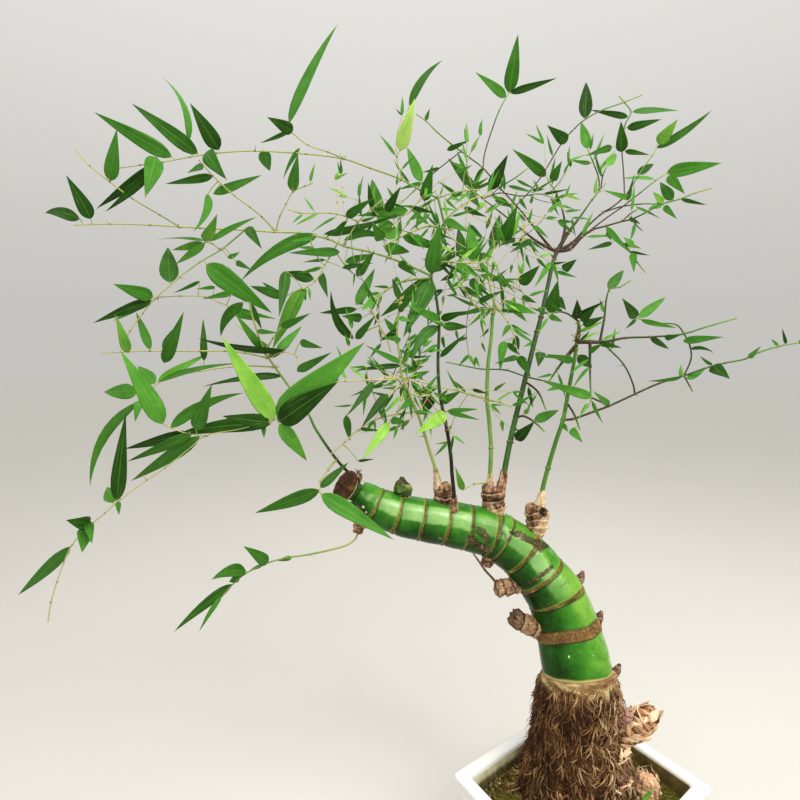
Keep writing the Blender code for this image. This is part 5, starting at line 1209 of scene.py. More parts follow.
def fibres(draw, drawn, count, reach, thick, spread, tones):  # loose dry fibres that leave a drawn shape
    path, _ = smoothRows(sheetRows(drawn), 1.0 * mm)
    ways, side, upright = ringFrames(path)
    made = []
    for _ in range(count):
        row = min(int(draw.uniform(0.1, 1.0) * len(path)), len(path) - 1)
        turn = draw.uniform(0, math.tau)
        outward = Vector(math.cos(turn) * side[row] + math.sin(turn) * upright[row])
        start = Vector(path[row, :3]) + outward * path[row, 3] * 0.8
        way = (Vector(ways[row]) * draw.uniform(0.5, 1.2) + outward * draw.uniform(0.1, 1.0) * spread).normalized()
        droop = Vector((0, 0, -draw.uniform(0.0, 0.5)))
        long = draw.uniform(0.4, 1.0) * reach * mm
        points = np.array([tuple(start + way * long * t + droop * long * t * t) for t in (0, 0.33, 0.66, 1.0)])
        made.append({"points": points, "half": np.linspace(1.0, 0.25, 4) * thick * draw.uniform(0.6, 1.2) * mm,
            "tone": draw.uniform(*tones)})
    return made


# torn sheaths and reddish buds beside the large bud, drawn as across, down, near, radius
rootScrapsDrawn = [("root_scraps", [(615, 763, 4, 4.0), (621, 756, 2, 4.6), (628, 749, -3, 3.2)], 26, 6.5),
    ("root_scraps_low", [(613, 789, 6, 4.0), (621, 785, 5, 4.6), (630, 782, -2, 3.5)], 22, 6.0)]
redBudsDrawn = {"bud_root_red": [(620, 723, -2, 5.0), (626, 716, 3, 6.0), (629, 712, 5, 4.8), (631, 709, 6, 1.8)],
    "bud_root_dark": [(615, 785, 3, 4.6), (621, 778, 5, 5.6), (627, 771, 1, 4.6), (630, 767, -1, 1.8)]}


def sheathBlades(draw, drawn, count, long, wide, lift, starts=(0.0, 0.85)):
    # dry pointed blades that lie along a drawn shape
    spacing = 0.6 * mm
    path, _ = smoothRows(sheetRows(drawn), spacing)
    end = len(path) - 1
    ways, side, upright = ringFrames(path)
    parts = np.array([0.0, 0.14, 0.30, 0.48, 0.66, 0.82, 0.93, 1.0])
    made = []
    for number in range(count):
        row = int((starts[0] + (starts[1] - starts[0]) * (number + 0.5) / count) * end)
        turn = number * 2.4 + draw.uniform(-0.4, 0.4)
        lean, reach = draw.gauss(0, 0.5), long * draw.uniform(0.45, 1.35) * mm
        rise, bend = lift * draw.uniform(0.0, 1.8) * mm, draw.uniform(-0.9, 0.9)
        points = []
        for part in parts:
            at = min(row + part * reach / spacing, float(end))
            k = int(at)
            place = path[k] + (path[min(k + 1, end)] - path[k]) * (at - k)
            beyond = max((row - end) * spacing + part * reach, 0.0)
            around = turn + (lean + bend * part) * part
            outward = math.cos(around) * side[k] + math.sin(around) * upright[k]
            away = place[3] * (0.96 - 0.25 * beyond / (8 * mm)) + rise * part ** 2 + 0.4 * mm
            points.append(place[:3] + outward * away + ways[k] * beyond)
        outward = math.cos(turn) * side[row] + math.sin(turn) * upright[row]
        tone = draw.uniform(0.12, 0.62)
        notch = np.array([1 + 0.16 * math.sin(9 * part + number) for part in parts])
        half = wide * draw.uniform(0.6, 1.2) / 2 * mm * notch * np.maximum(1 - parts ** 2.2, 0.03)
        made.append({"points": np.array(points), "half": half,
            "tone": tone + (0.95 - tone) * parts ** 1.4 * draw.uniform(0.6, 1.0),
            "sideways": np.tile(np.cross(ways[row], outward), (len(parts), 1))})
    return made


rootBudValues = {
    "sides": 84, "spacing": 0.45, "scale": 9.0, "flare": 2.4, "redSides": 44, "redSpacing": 0.5, "redScale": 5.5,
    # loose fibres: how many, reach, thickness, spread, tones
    "fibres": (170, 6.5, 0.26, 1.0, (0.1, 1.0)), "cutFibres": (90, 5.0, 0.3, 0.6, (0.2, 1.0)),
    # dry blades: how many, length, width, lift, where they start
    "blades": (64, 12.0, 8.5, 1.7, (0.10, 0.90)), "cutBlades": (16, 8.0, 5.0, 1.4, (0.5, 0.95)),
    "scrapWide": 4.6, "scrapLift": 1.8, "bladeSkin": (0.10, 0.22),
    "cutSides": 84, "cutSpacing": 0.6, "greenSides": 24, "greenSpacing": 0.8,
}


def makeRootBuds():
    draw = random.Random(4)
    frayed = sheathPaint("frayed orange sheaths", [(0.34, (0.13, 0.055, 0.026)), (0.47, (0.36, 0.17, 0.075)),
        (0.58, (0.56, 0.33, 0.16)), (0.70, (0.76, 0.57, 0.35))])

    def rule(run, share, turn, place, outward):
        around = Vector((math.cos(turn), math.sin(turn), 0))
        row = (run + 3.0 * noise.noise(around * 1.6 + Vector((0, 0, 2.0)))) / rootBudValues["scale"]
        row += 0.55 * abs((turn / math.tau * 3 + 0.5 * math.floor(row)) % 1.0 - 0.5)
        part = row % 1.0
        ragged = 0.10 * noise.noise(around * 7.0 + Vector((0, 0, math.floor(row) * 2.0)))
        flare = part ** 1.5 if part < 0.88 + ragged else max(1 - part, 0) * 6
        extra = rootBudValues["flare"] * (flare - 0.55) + 1.6 * rough(place, 9.0, 2.0)
        extra += 0.7 * rough(place, 2.6, 5.0) + 0.35 * rough(place, 1.1, 5.0)
        fade = 1 - smoothStep(share, 0.92, 1.0)
        dark = (1 - smoothStep(share + 0.1 * rough(place, 5.0), 0.22, 0.45)) * 0.35
        return extra * fade - 1.2, {"lip": part, "dark": dark, "pale": smoothStep(share, 0.4, 0.9) * 0.3,
            "rib": ragged * 5, "ahead": (1 - fade) * 2.5 * rough(place, 4.0)}

    ringPiece("bud_root_sheaths", rootBudDrawn, rootBudValues["sides"], rootBudValues["spacing"], rule, frayed,
        "root_bud", "bud_root")
    straws = tonePaint("frayed fibres", [(0.0, (0.20, 0.080, 0.040)), (0.28, (0.54, 0.27, 0.13)),
        (0.50, (0.82, 0.54, 0.30)),
        (0.75, (0.93, 0.76, 0.54)), (1.0, (0.96, 0.88, 0.73))], 240.0, 0.7, 0.0006, (1, 1, 1), 4.0)
    loose = fibres(draw, rootBudDrawn, *rootBudValues["fibres"])
    settle(skinned("bud_root_fibres", loose, straws, sides=5), "root_bud", "bud_root")
    blades = sheathBlades(draw, rootBudDrawn, *rootBudValues["blades"])
    skin = rootBudValues["bladeSkin"]
    settle(skinned("bud_root_blades", blades, straws, flatSkin, 10, *skin), "root_bud", "bud_root")
    for name, drawn, count, long in rootScrapsDrawn:  # smaller torn sheaths on the root's right side
        scraps = sheathBlades(draw, drawn, count, long, rootBudValues["scrapWide"], rootBudValues["scrapLift"])
        settle(skinned(name, scraps, straws, flatSkin, 8, *skin), "root_bud")

    def redRule(run, share, turn, place, outward):
        row = run / rootBudValues["redScale"] + 0.6 * abs((turn / math.tau * 2) % 1.0 - 0.5)
        part = (row + 0.2 * rough(place, 4.0)) % 1.0
        return 0.8 * (part - 0.5) + 0.5 * rough(place, 3.0, 1.0), {
            "lip": part, "dark": 0.0, "pale": 0.35 * (1 - share), "rib": rough(place, 2.0)}

    red = sheathPaint("red bud scales", [(0.34, (0.13, 0.040, 0.030)), (0.50, (0.40, 0.18, 0.13)),
        (0.66, (0.70, 0.46, 0.36))])
    dusky = sheathPaint("dark bud scales", [(0.34, (0.032, 0.011, 0.006)), (0.50, (0.14, 0.056, 0.030)),
        (0.66, (0.38, 0.23, 0.14))])
    for name, drawn in redBudsDrawn.items():
        ringPiece(name, drawn, rootBudValues["redSides"], rootBudValues["redSpacing"], redRule,
            red if name == "bud_root_red" else dusky, "root_bud")

    def cutRule(run, share, turn, place, outward):
        splint, wide = ringNoise(turn, 5, 1.0), ringNoise(turn, 1.4, 7.0)
        extra = 1.5 * splint + 3.4 * wide + 2.2 * rough(place, 6.0, 9.0) + 1.4 * rough(place, 2.4, 9.0)
        flat = smoothStep(share, 0.55, 0.97)
        slope = 3.6 * outward.dot(Vector((-0.9, -0.4, 0.0)))
        return extra * (1 - flat * 0.4) - flat * 1.5, {
            "lip": 0.55 + 0.1 * splint, "dark": 0.10 * (1 - smoothStep(share, 0.3, 0.6)), "pale": 0.0, "rib": splint,
            "ahead": flat * (6.0 * wide + 4.0 * splint + slope + 2.0 * rough(place, 3.0)) - 2.0 * flat}

    wood = sheathPaint("cut orange wood", [(0.34, (0.36, 0.16, 0.085)), (0.45, (0.76, 0.44, 0.25)),
        (0.56, (0.92, 0.65, 0.43)), (0.68, (0.97, 0.82, 0.63))])
    ringPiece("cut_shoot_wood", cutShootDrawn, rootBudValues["cutSides"], rootBudValues["cutSpacing"], cutRule, wood,
        "cut_wood", "cut_shoot")
    loose = fibres(draw, cutShootDrawn[2:], *rootBudValues["cutFibres"])
    settle(skinned("cut_shoot_fibres", loose, straws, sides=5), "cut_wood", "cut_shoot")
    blades = sheathBlades(draw, cutShootDrawn, *rootBudValues["cutBlades"])
    settle(skinned("cut_shoot_blades", blades, straws, flatSkin, 8, *skin), "cut_wood", "cut_shoot")

    fresh = Paint("fresh green tip", Roughness=0.4)
    lines = fresh.spots(120.0, 2.0, (1, 1, 0.25))
    fresh.feed("Base Color", fresh.ramp(lines, [(0.3, (0.035, 0.20, 0.012)), (0.7, (0.16, 0.42, 0.035))]))
    fresh.relief(lines, 0.0005, 0.5)
    ringPiece("green_shoot_tip", greenShootDrawn, rootBudValues["greenSides"], rootBudValues["greenSpacing"],
        lambda run, share, turn, *_: (0.25 * math.sin(turn * 3 + run * 0.4), {}), fresh.material,
        "green_shoot", "green_shoot")


cutEndValues = {
    "sides": 88, "spacing": 0.5, "tuftSides": 28, "tuftSpacing": 0.8,
    "fibres": (150, 6.5, 0.30, 1.3, (0.1, 1.0)),  # how many, reach, thickness, spread, tones
}


def makeCutEnd():
    draw = random.Random(9)
    paint = Paint("dried cut", Roughness=0.85, Specular_IOR_Level=0.2)
    rays, grain = paint.attribute("rays"), paint.spots(260.0, 4.0)
    colour = paint.ramp(grain * 0.6 + rays * 0.4, [(0.25, (0.018, 0.007, 0.003)), (0.5, (0.070, 0.028, 0.011)),
        (0.75, (0.24, 0.115, 0.050))])
    colour = paint.mix((paint.attribute("rim") + (grain - 0.5) * 0.4).rise(0.35, 0.8) * 0.85, colour,
        (0.55, 0.50, 0.30))
    colour = paint.mix(paint.attribute("green"), colour, paint.ramp(grain,
        [(0.3, (0.010, 0.045, 0.004)), (0.7, (0.045, 0.125, 0.016))]))
    paint.feed("Base Color", colour)
    paint.relief(grain + rays * 0.6, 0.0015, 0.8)

    def rule(run, share, turn, place, outward):
        split = ringNoise(turn, 6, 4.0)
        edge = smoothStep(share, 0.36, 0.50)
        extra = edge * (0.5 * split + 0.4 * rough(place, 3.0, 2.0)) * (1 - smoothStep(share, 0.88, 0.93))
        uneven = 0.5 * split + 0.7 * rough(place, 5.0, 1.0) + 0.4 * rough(place, 1.8, 1.0)
        return extra, {"rays": 0.45 + split * 0.5, "rim": edge * (1 - smoothStep(share, 0.60, 0.72)),
            "green": 1 - smoothStep(share + 0.02 * split, 0.36, 0.44),
            "ahead": smoothStep(share, 0.80, 0.90) * uneven}

    ringPiece("cut_end_disc", cutEndDrawn, cutEndValues["sides"], cutEndValues["spacing"], rule, paint.material,
        "dark_wood", "cut_end")

    def tuftRule(run, share, turn, place, outward):
        return 1.5 * rough(place, 3.5, 8.0) + 0.6 * rough(place, 1.5, 8.0) - 0.4, {"rays": 0.6,
            "rim": 0.5 + rough(place, 2.0)}

    ringPiece("cut_end_tuft", endTuftDrawn, cutEndValues["tuftSides"], cutEndValues["tuftSpacing"], tuftRule,
        paint.material, "dark_wood", "cut_end")
    dry = tonePaint("dry tuft", [(0.0, (0.07, 0.03, 0.018)), (0.5, (0.30, 0.16, 0.10)), (1.0, (0.66, 0.48, 0.34))],
        300.0, 0.8)
    tuft = fibres(draw, endTuftDrawn, *cutEndValues["fibres"])
    settle(skinned("cut_end_fibres", tuft, dry, sides=5), "dark_wood", "cut_end")


# Leafy stems

stemValues = {
    "tipShort": 1.2, "swell": 1.3, "spineApart": 130.0, "spineLong": 7.0, "rootSpread": 2.5, "riseLimit": 26.0,
    "widestToLength": 0.155, "twigRound": 0.80, "usualRound": 0.88,
    "culmRound": {"stem_dark": 0.78, "stem_low": 0.72},
    "culmSides": 14, "twigSides": 8, "leafSides": 12, "leafThickness": 0.05, "leafFold": 0.16, "arch": 0.18,
    "stalk": 0.42, "noStalk": 0.4, "culmSwell": 0.42, "twigSwell": 0.38,
    # leaves and thin twigs added at random: the box on the sheet, length and width or half thickness
    "leafBox": (300, 640, 150, 410), "extraLong": (12, 30), "extraWide": (2.6, 4.4), "twigBox": (320, 560, 170, 400),
    "twigLong": (22, 66), "twigHalf": (0.34, 0.58), "twigLeafLong": (9, 22), "twigLeafWide": (2.4, 4.2),
    # short dry sheaths where a twig starts, and where they crowd at a joint
    "budSheaths": {"lift": (0.4, 0.8), "reach": (2.5, 5.5), "half": (0.75, 0.5, 0.1), "joint": (0.9, 0.6, 0.5)},
    "bractSheaths": {"lift": (0.3, 0.9), "reach": (3.5, 8.5), "half": (1.1, 0.7, 0.12), "joint": (0.7, 0.2, 0.1)},
    "changes": (0, 9, -9, 18, -18, 27, -27, 38, -38, 50, -50),
    # the colour of each culm from its foot to its top, then of its twigs from root to tip:
    # 0 near black, 0.25 dark green, 0.5 green, 0.75 yellow green, 1 tan
    "tones": {
        "stem_dark": [(0.0, 0.02), (0.30, 0.04), (0.38, 0.18), (0.7, 0.24), (1.0, 0.5)],
        "stem_pale": [(0.0, 0.56), (1.0, 0.52)],
        "stem_thick": [(0.0, 0.30), (0.5, 0.24), (0.93, 0.22), (1.0, 0.12)],
        "stem_right": [(0.0, 0.58), (0.5, 0.42), (1.0, 0.44)],
        "stem_thin": [(0.0, 0.72), (1.0, 0.66)],
        "stem_cut_end": [(0.0, 0.30), (0.12, 0.05), (0.30, 0.30), (0.5, 0.60), (1.0, 0.72)],
        "stem_low": [(0.0, 0.98), (0.15, 0.86), (0.35, 0.66), (1.0, 0.60)],
    },
    "twigTones": {
        "stem_dark": (0.55, 0.76, 0.80), "stem_pale": (0.60, 0.80, 0.78), "stem_thick": (0.08, 0.14, 0.72),
        "stem_right": (0.12, 0.20, 0.62), "stem_thin": (0.80, 0.90, 0.80), "stem_cut_end": (0.70, 0.84, 0.82),
        "stem_low": (0.7, 0.7, 0.7),
    },
    "extraLeaves": {"stem_dark": 110, "stem_cut_end": 26, "stem_thin": 40, "stem_pale": 50, "stem_thick": 50,
        "stem_right": 26},
    "extraTwigs": {"stem_dark": 80, "stem_cut_end": 22, "stem_thin": 30, "stem_pale": 40, "stem_thick": 36,
        "stem_right": 18},
    # dry sheaths crowded at a joint: across, down, how many, tone; and where twigs start stout and brown
    "bracts": {"stem_pale": (492, 310, 16, 0.95), "stem_thick": (557, 251, 18, 0.12),
        "stem_right": (577, 338, 12, 0.95), "stem_dark": (434, 266, 12, 0.80), "stem_thin": (400, 300, 10, 0.90)},
    "stout": {"stem_thick": (557, 251), "stem_right": (577, 338)}, "stouter": 1.1, "stoutReach": 45,
    # small leaves: base across and down, tip across and down, width
    "smallLeaves": [(263, 425, 264, 438, 5), (118, 501, 119, 515, 5), (228, 258, 240, 252, 5),
        (303, 288, 306, 301, 7), (442, 209, 456, 210, 3), (372, 382, 366, 392, 5), (399, 318, 412, 322, 6),
        (510, 325, 502, 337, 6), (484, 256, 470, 262, 6), (456, 272, 466, 262, 6), (663, 203, 653, 192, 7),
        (633, 246, 623, 237, 7), (662, 205, 648, 209, 7), (558, 203, 556, 193, 6), (426, 121, 430, 108, 5),
        (484, 203, 475, 212, 6), (524, 413, 530, 408, 6), (537, 342, 523, 347, 5), (606, 233, 612, 241, 5),
        (636, 319, 625, 329, 4), (681, 377, 681, 364, 4), (712, 365, 700, 356, 4), (559, 387, 546, 391, 5),
        (563, 424, 568, 432, 5), (549, 316, 563, 322, 6), (778, 346, 771, 339, 3), (240, 577, 229, 582, 8),
        (263, 565, 249, 571, 4), (292, 557, 278, 561, 5)],
    # how light some leaves are, at their middle: across, down, from 0 dark to 1 bright, partly the leaf's own colour
    # and partly painted light and shade; the others vary
    "markReach": 7, "light": 0.38, "smallLight": 0.52, "lightSpread": 0.15,
    "lightMarks": [(247, 378, 0.82), (357, 517, 0.50), (239, 288, 0.52), (141, 387, 0.60), (287, 319, 0.68),
        (407, 124, 1.0),
        (584, 100, 0.05), (165, 130, 0.26), (208, 128, 0.14), (514, 62, 0.32), (140, 134, 0.36), (313, 75, 0.40),
        (430, 423, 0.86), (422, 356, 0.7), (554, 296, 0.34), (668, 131, 0.76), (694, 167, 0.50), (150, 177, 0.46),
        (174, 109, 0.56), (435, 248, 0.46), (376, 441, 0.85), (190, 253, 0.66), (524, 310, 0.6), (564, 388, 0.6),
        (308, 402, 0.06), (246, 419, 0.10), (129, 186, 0.12), (242, 381, 0.14), (207, 410, 0.40), (445, 263, 0.12),
        (560, 304, 0.14), (426, 83, 0.25), (365, 287, 0.45), (562, 358, 0.45), (633, 263, 0.4), (321, 380, 0.60),
        (118, 450, 0.54), (686, 131, 0.30), (558, 135, 0.28), (644, 124, 0.28), (459, 481, 0.74), (655, 110, 0.38)],
}


class Shoot:
    def __init__(self, route, near, radius, kept=None):
        self.full = self.place(route, near, radius)
        self.drawn = self.place(kept or route, near, radius)

    def place(self, route, near, radius):
        runs = [0.0]
        for here, beyond in zip(route, route[1:]):
            runs.append(runs[-1] + math.dist(here, beyond))
        return [(across, down, near[0] + (near[1] - near[0]) * run / runs[-1],
            radius[0] + (radius[1] - radius[0]) * run / runs[-1]) for (across, down), run in zip(route, runs)]

    def closest(self, across, down):
        best = None
        for index, (here, beyond) in enumerate(zip(self.drawn, self.drawn[1:])):
            run = (beyond[0] - here[0], beyond[1] - here[1])
            part = ((across - here[0]) * run[0] + (down - here[1]) * run[1]) / (run[0] ** 2 + run[1] ** 2)
            last = 1.0 if index < len(self.drawn) - 2 else 1.0 - stemValues["tipShort"] / math.hypot(*run)
            part = min(max(part, 0.0), last)
            place = [a + (b - a) * part for a, b in zip(here, beyond)]
            inverse = (1 - part) / (view["sheetAway"] - here[2]) + part / (view["sheetAway"] - beyond[2])
            place[2] = view["sheetAway"] - 1 / inverse
            away = math.dist(place[:2], (across, down))
            if best is None or away < best[0]:
                best = (away, place)
        return best


def nearestPlace(shoots, across, down):
    return min((shoot.closest(across, down) for shoot in shoots), key=lambda found: found[0])[1]


def thinned(route):
    kept = [route[0]]
    for index in range(1, len(route) - 1):
        here, before, beyond = (Vector(point) for point in (route[index], kept[-1], route[index + 1]))
        run = beyond - before
        if abs(run.cross(here - before)) / run.length > 2.0 or (here - before).length > 60.0:
            kept.append(route[index])
    return kept + [route[-1]]


def growShoots(stem):
    culm = Shoot(stem["culm"], stem["near"], stem["radius"])
    culm.drawn.insert(0, (*stem["foot"], stem["radius"][0]))
    culm.full.insert(0, (*stem["foot"], stem["radius"][0]))
    for index in stem["joints"]:
        point = culm.drawn[index]
        culm.drawn[index] = (*point[:3], point[3] * stemValues["swell"])
    shoots = [culm]
    for reach, route in stem["twigs"]:
        root = nearestPlace(shoots, *route[0])
        thick = min(root[3] * 0.8, 1.5)
        thin = max(thick * 0.6, 0.8)
        whole = [tuple(root[:2])] + route[1:]
        shoots.append(Shoot(whole, (root[2], root[2] + reach), (thick, thin), thinned(whole)))
    return shoots


def leafPlace(leaf, shoots, draw):
    across, down, tipAcross, tipDown, wide, bow, rise = leaf + (0, None)[len(leaf) - 5:]
    spread = stemValues["rootSpread"]
    root = nearestPlace(shoots, across + draw.uniform(-spread, spread), down + draw.uniform(-spread, spread))
    length = math.dist((across, down), (tipAcross, tipDown))
    full = wide / stemValues["widestToLength"]
    if rise is None:
        if full > length * 1.05:
            rise = min(math.sqrt(full ** 2 - length ** 2), stemValues["riseLimit"])
        else:
            rise = length * draw.uniform(0.05, 0.25)
        if draw.random() < 0.4:
            rise = -rise
    trueWide = max(wide, length * stemValues["widestToLength"] * 0.9)
    roll = math.acos(min(wide / trueWide, 1.0)) + draw.uniform(-0.15, 0.15)
    if draw.random() < 0.5:
        roll = -roll
    return root, (across, down), (tipAcross, tipDown), trueWide, roll, bow, rise


def jointedPath(rows, joints, swell, tones, spacing=4.0):  # a stalk's path with a swelling at each joint
    path, knots = smoothRows(rows, spacing * mm)
    runs = lengthsOf(path) / mm
    marks = runs[[knots[k] for k in joints]] if joints else np.array([])
    extra = np.array([mark + off for mark in marks for off in (-2.4, -1.2, -0.45, 0.0, 0.45, 1.2, 2.4)])
    at = np.unique(np.clip(np.concatenate([runs, extra]), 0, runs[-1]))
    at = at[np.concatenate([[True], np.diff(at) > 0.15])]
    full = np.stack([np.interp(at, runs, path[:, k]) for k in range(path.shape[1])], axis=-1)
    joint = np.zeros(len(at))
    for mark in marks:
        joint = np.maximum(joint, np.exp(-((at - mark) / 1.0) ** 2))
    shares = at / runs[-1]
    tone = np.interp(shares, [t[0] for t in tones], [t[1] for t in tones])
    return {"points": full[:, :3], "half": full[:, 3] * (1 + swell * joint), "tone": tone, "joint": joint}


def leafPath(base, tip, width, roll, shift, shade, age, draw):
    along = (tip - base).normalized()
    side = along.cross((view["eye"] - base).normalized()).normalized()
    face = side.cross(along)
    side, face = side * math.cos(roll) + face * math.sin(roll), face * math.cos(roll) - side * math.sin(roll)
    length = (tip - base).length
    parts = ([0, 0.06, 0.16, 0.32, 0.5, 0.68, 0.85, 1] if length < 0.024 else
        [0, 0.03, 0.08, 0.16, 0.26, 0.38, 0.5, 0.62, 0.73, 0.83, 0.91, 0.97, 1])
    parts = np.array(parts, float)
    hump = parts * (1 - parts)
    points = np.array([tuple(base.lerp(tip, part) + shift * 4 * h + face * (length * stemValues["arch"] * h))
        for part, h in zip(parts, hump)])
    half = width / 2 * (1 - np.exp(-9 * parts)) * np.maximum(1 - parts ** 1.45, 0) / 0.775
    twist = draw.uniform(-0.5, 0.5)
    sideways = np.array([tuple(-(side * math.cos(twist * part) + face * math.sin(twist * part))) for part in parts])
    return {"points": points, "half": np.maximum(half, 0.05 * mm), "sideways": sideways, "shade": shade, "age": age,
        "along": parts, "leafHalf": np.full(len(parts), width / 2)}


def leafPaint():
    paint = Paint("leaf", IOR=1.45, Specular_IOR_Level=0.13)
    across, along, shade, age, size = (paint.attribute(name) for name in ("across", "along", "shade", "age",
        "leafHalf"))
    broad, fine = paint.spots(60.0, 3.0), paint.spots(500.0, 3.0)
    place = paint.node("ShaderNodeCombineXYZ", values={0: across * 5.0 + age * 60.0, 1: along * 1.6, 2: shade * 20.0})
    streaks = paint.node("ShaderNodeTexNoise", values={"Vector": place, "Scale": 1.0, "Detail": 4.0,
        "Roughness": 0.6})
    tone = shade + (broad - 0.5) * 0.30 + (streaks - 0.5) * 0.30
    colour = paint.ramp(tone, [(0.0, (0.010, 0.040, 0.003)), (0.20, (0.022, 0.088, 0.006)),
        (0.42, (0.046, 0.185, 0.016)),
        (0.62, (0.085, 0.30, 0.030)), (0.82, (0.23, 0.50, 0.060)), (1.0, (0.52, 0.75, 0.17))])
    veins = (abs(across) * 26.0 + (fine - 0.5) * 1.0).sine() * 0.5 + 0.5
    colour = paint.mix(veins * 0.26, colour, paint.mix(1.0, colour, (0.55, 0.72, 0.40), "MULTIPLY"))
    rib = abs(across).rise(0.07, 0.02) * along.rise(0.98, 0.70)
    colour = paint.mix(rib * (0.06 + size.rise(0.002, 0.006) * 0.22), colour, (0.26, 0.40, 0.09))
    glints = streaks.rise(0.60, 0.74) * size.rise(0.003, 0.006) * 0.35
    colour = paint.mix(glints, colour, (0.24, 0.44, 0.13))
    dry = (along + age * 0.10 + (fine - 0.5) * 0.06).rise(0.99, 1.05) * 0.8
    colour = paint.mix(dry, colour, (0.30, 0.20, 0.07))
    colour = paint.mix(along.rise(0.05, 0.0) * 0.5, colour, (0.26, 0.30, 0.07))
    paint.feed("Base Color", colour)
    paint.feed("Roughness", 0.46 + (streaks - 0.5) * 0.3 + dry * 0.3)
    paint.relief(veins * 0.5 + rib * 1.2 + broad * 0.5, 0.0003, 0.22)
    return paint.material


def stalkPaint():
    paint = Paint("stalk", IOR=1.45, Specular_IOR_Level=0.25)
    joint, tone = paint.attribute("joint"), paint.attribute("tone")
    grain, blots = paint.spots(200.0, 3.0, (1, 1, 0.3)), paint.spots(60.0, 3.0)
    colour = paint.ramp(tone + (grain - 0.5) * 0.16 + (blots - 0.5) * 0.16, [
        (0.0, (0.010, 0.010, 0.005)), (0.10, (0.050, 0.026, 0.012)), (0.25, (0.024, 0.075, 0.009)),
        (0.5, (0.075, 0.22, 0.022)),
        (0.75, (0.36, 0.42, 0.12)), (0.88, (0.52, 0.48, 0.22)), (1.0, (0.42, 0.27, 0.10))])
    brown = (joint + (grain - 0.5) * 0.3).rise(0.25, 0.7)
    colour = paint.mix(brown * 0.68, colour, paint.ramp(blots,
        [(0.3, (0.12, 0.060, 0.022)), (0.7, (0.40, 0.27, 0.12))]))
    paint.feed("Base Color", colour)
    paint.feed("Roughness", 0.34 + grain * 0.15 + brown * 0.35)
    paint.relief(grain + brown * 0.5, 0.0003, 0.5)
    return paint.material


def lightOf(across, down, draw, usual):  # how light the leaf there is
    best = min(stemValues["lightMarks"], key=lambda mark: math.dist(mark[:2], (across, down)))
    if math.dist(best[:2], (across, down)) < stemValues["markReach"]:
        return best[2]
    return min(max(draw.gauss(usual, stemValues["lightSpread"]), 0.06), 0.82)


def nearestOf(points, place):  # how far the nearest of the points is, and which one it is
    aways = np.linalg.norm(points - np.array(place), axis=1)
    return aways.min(), aways.argmin()


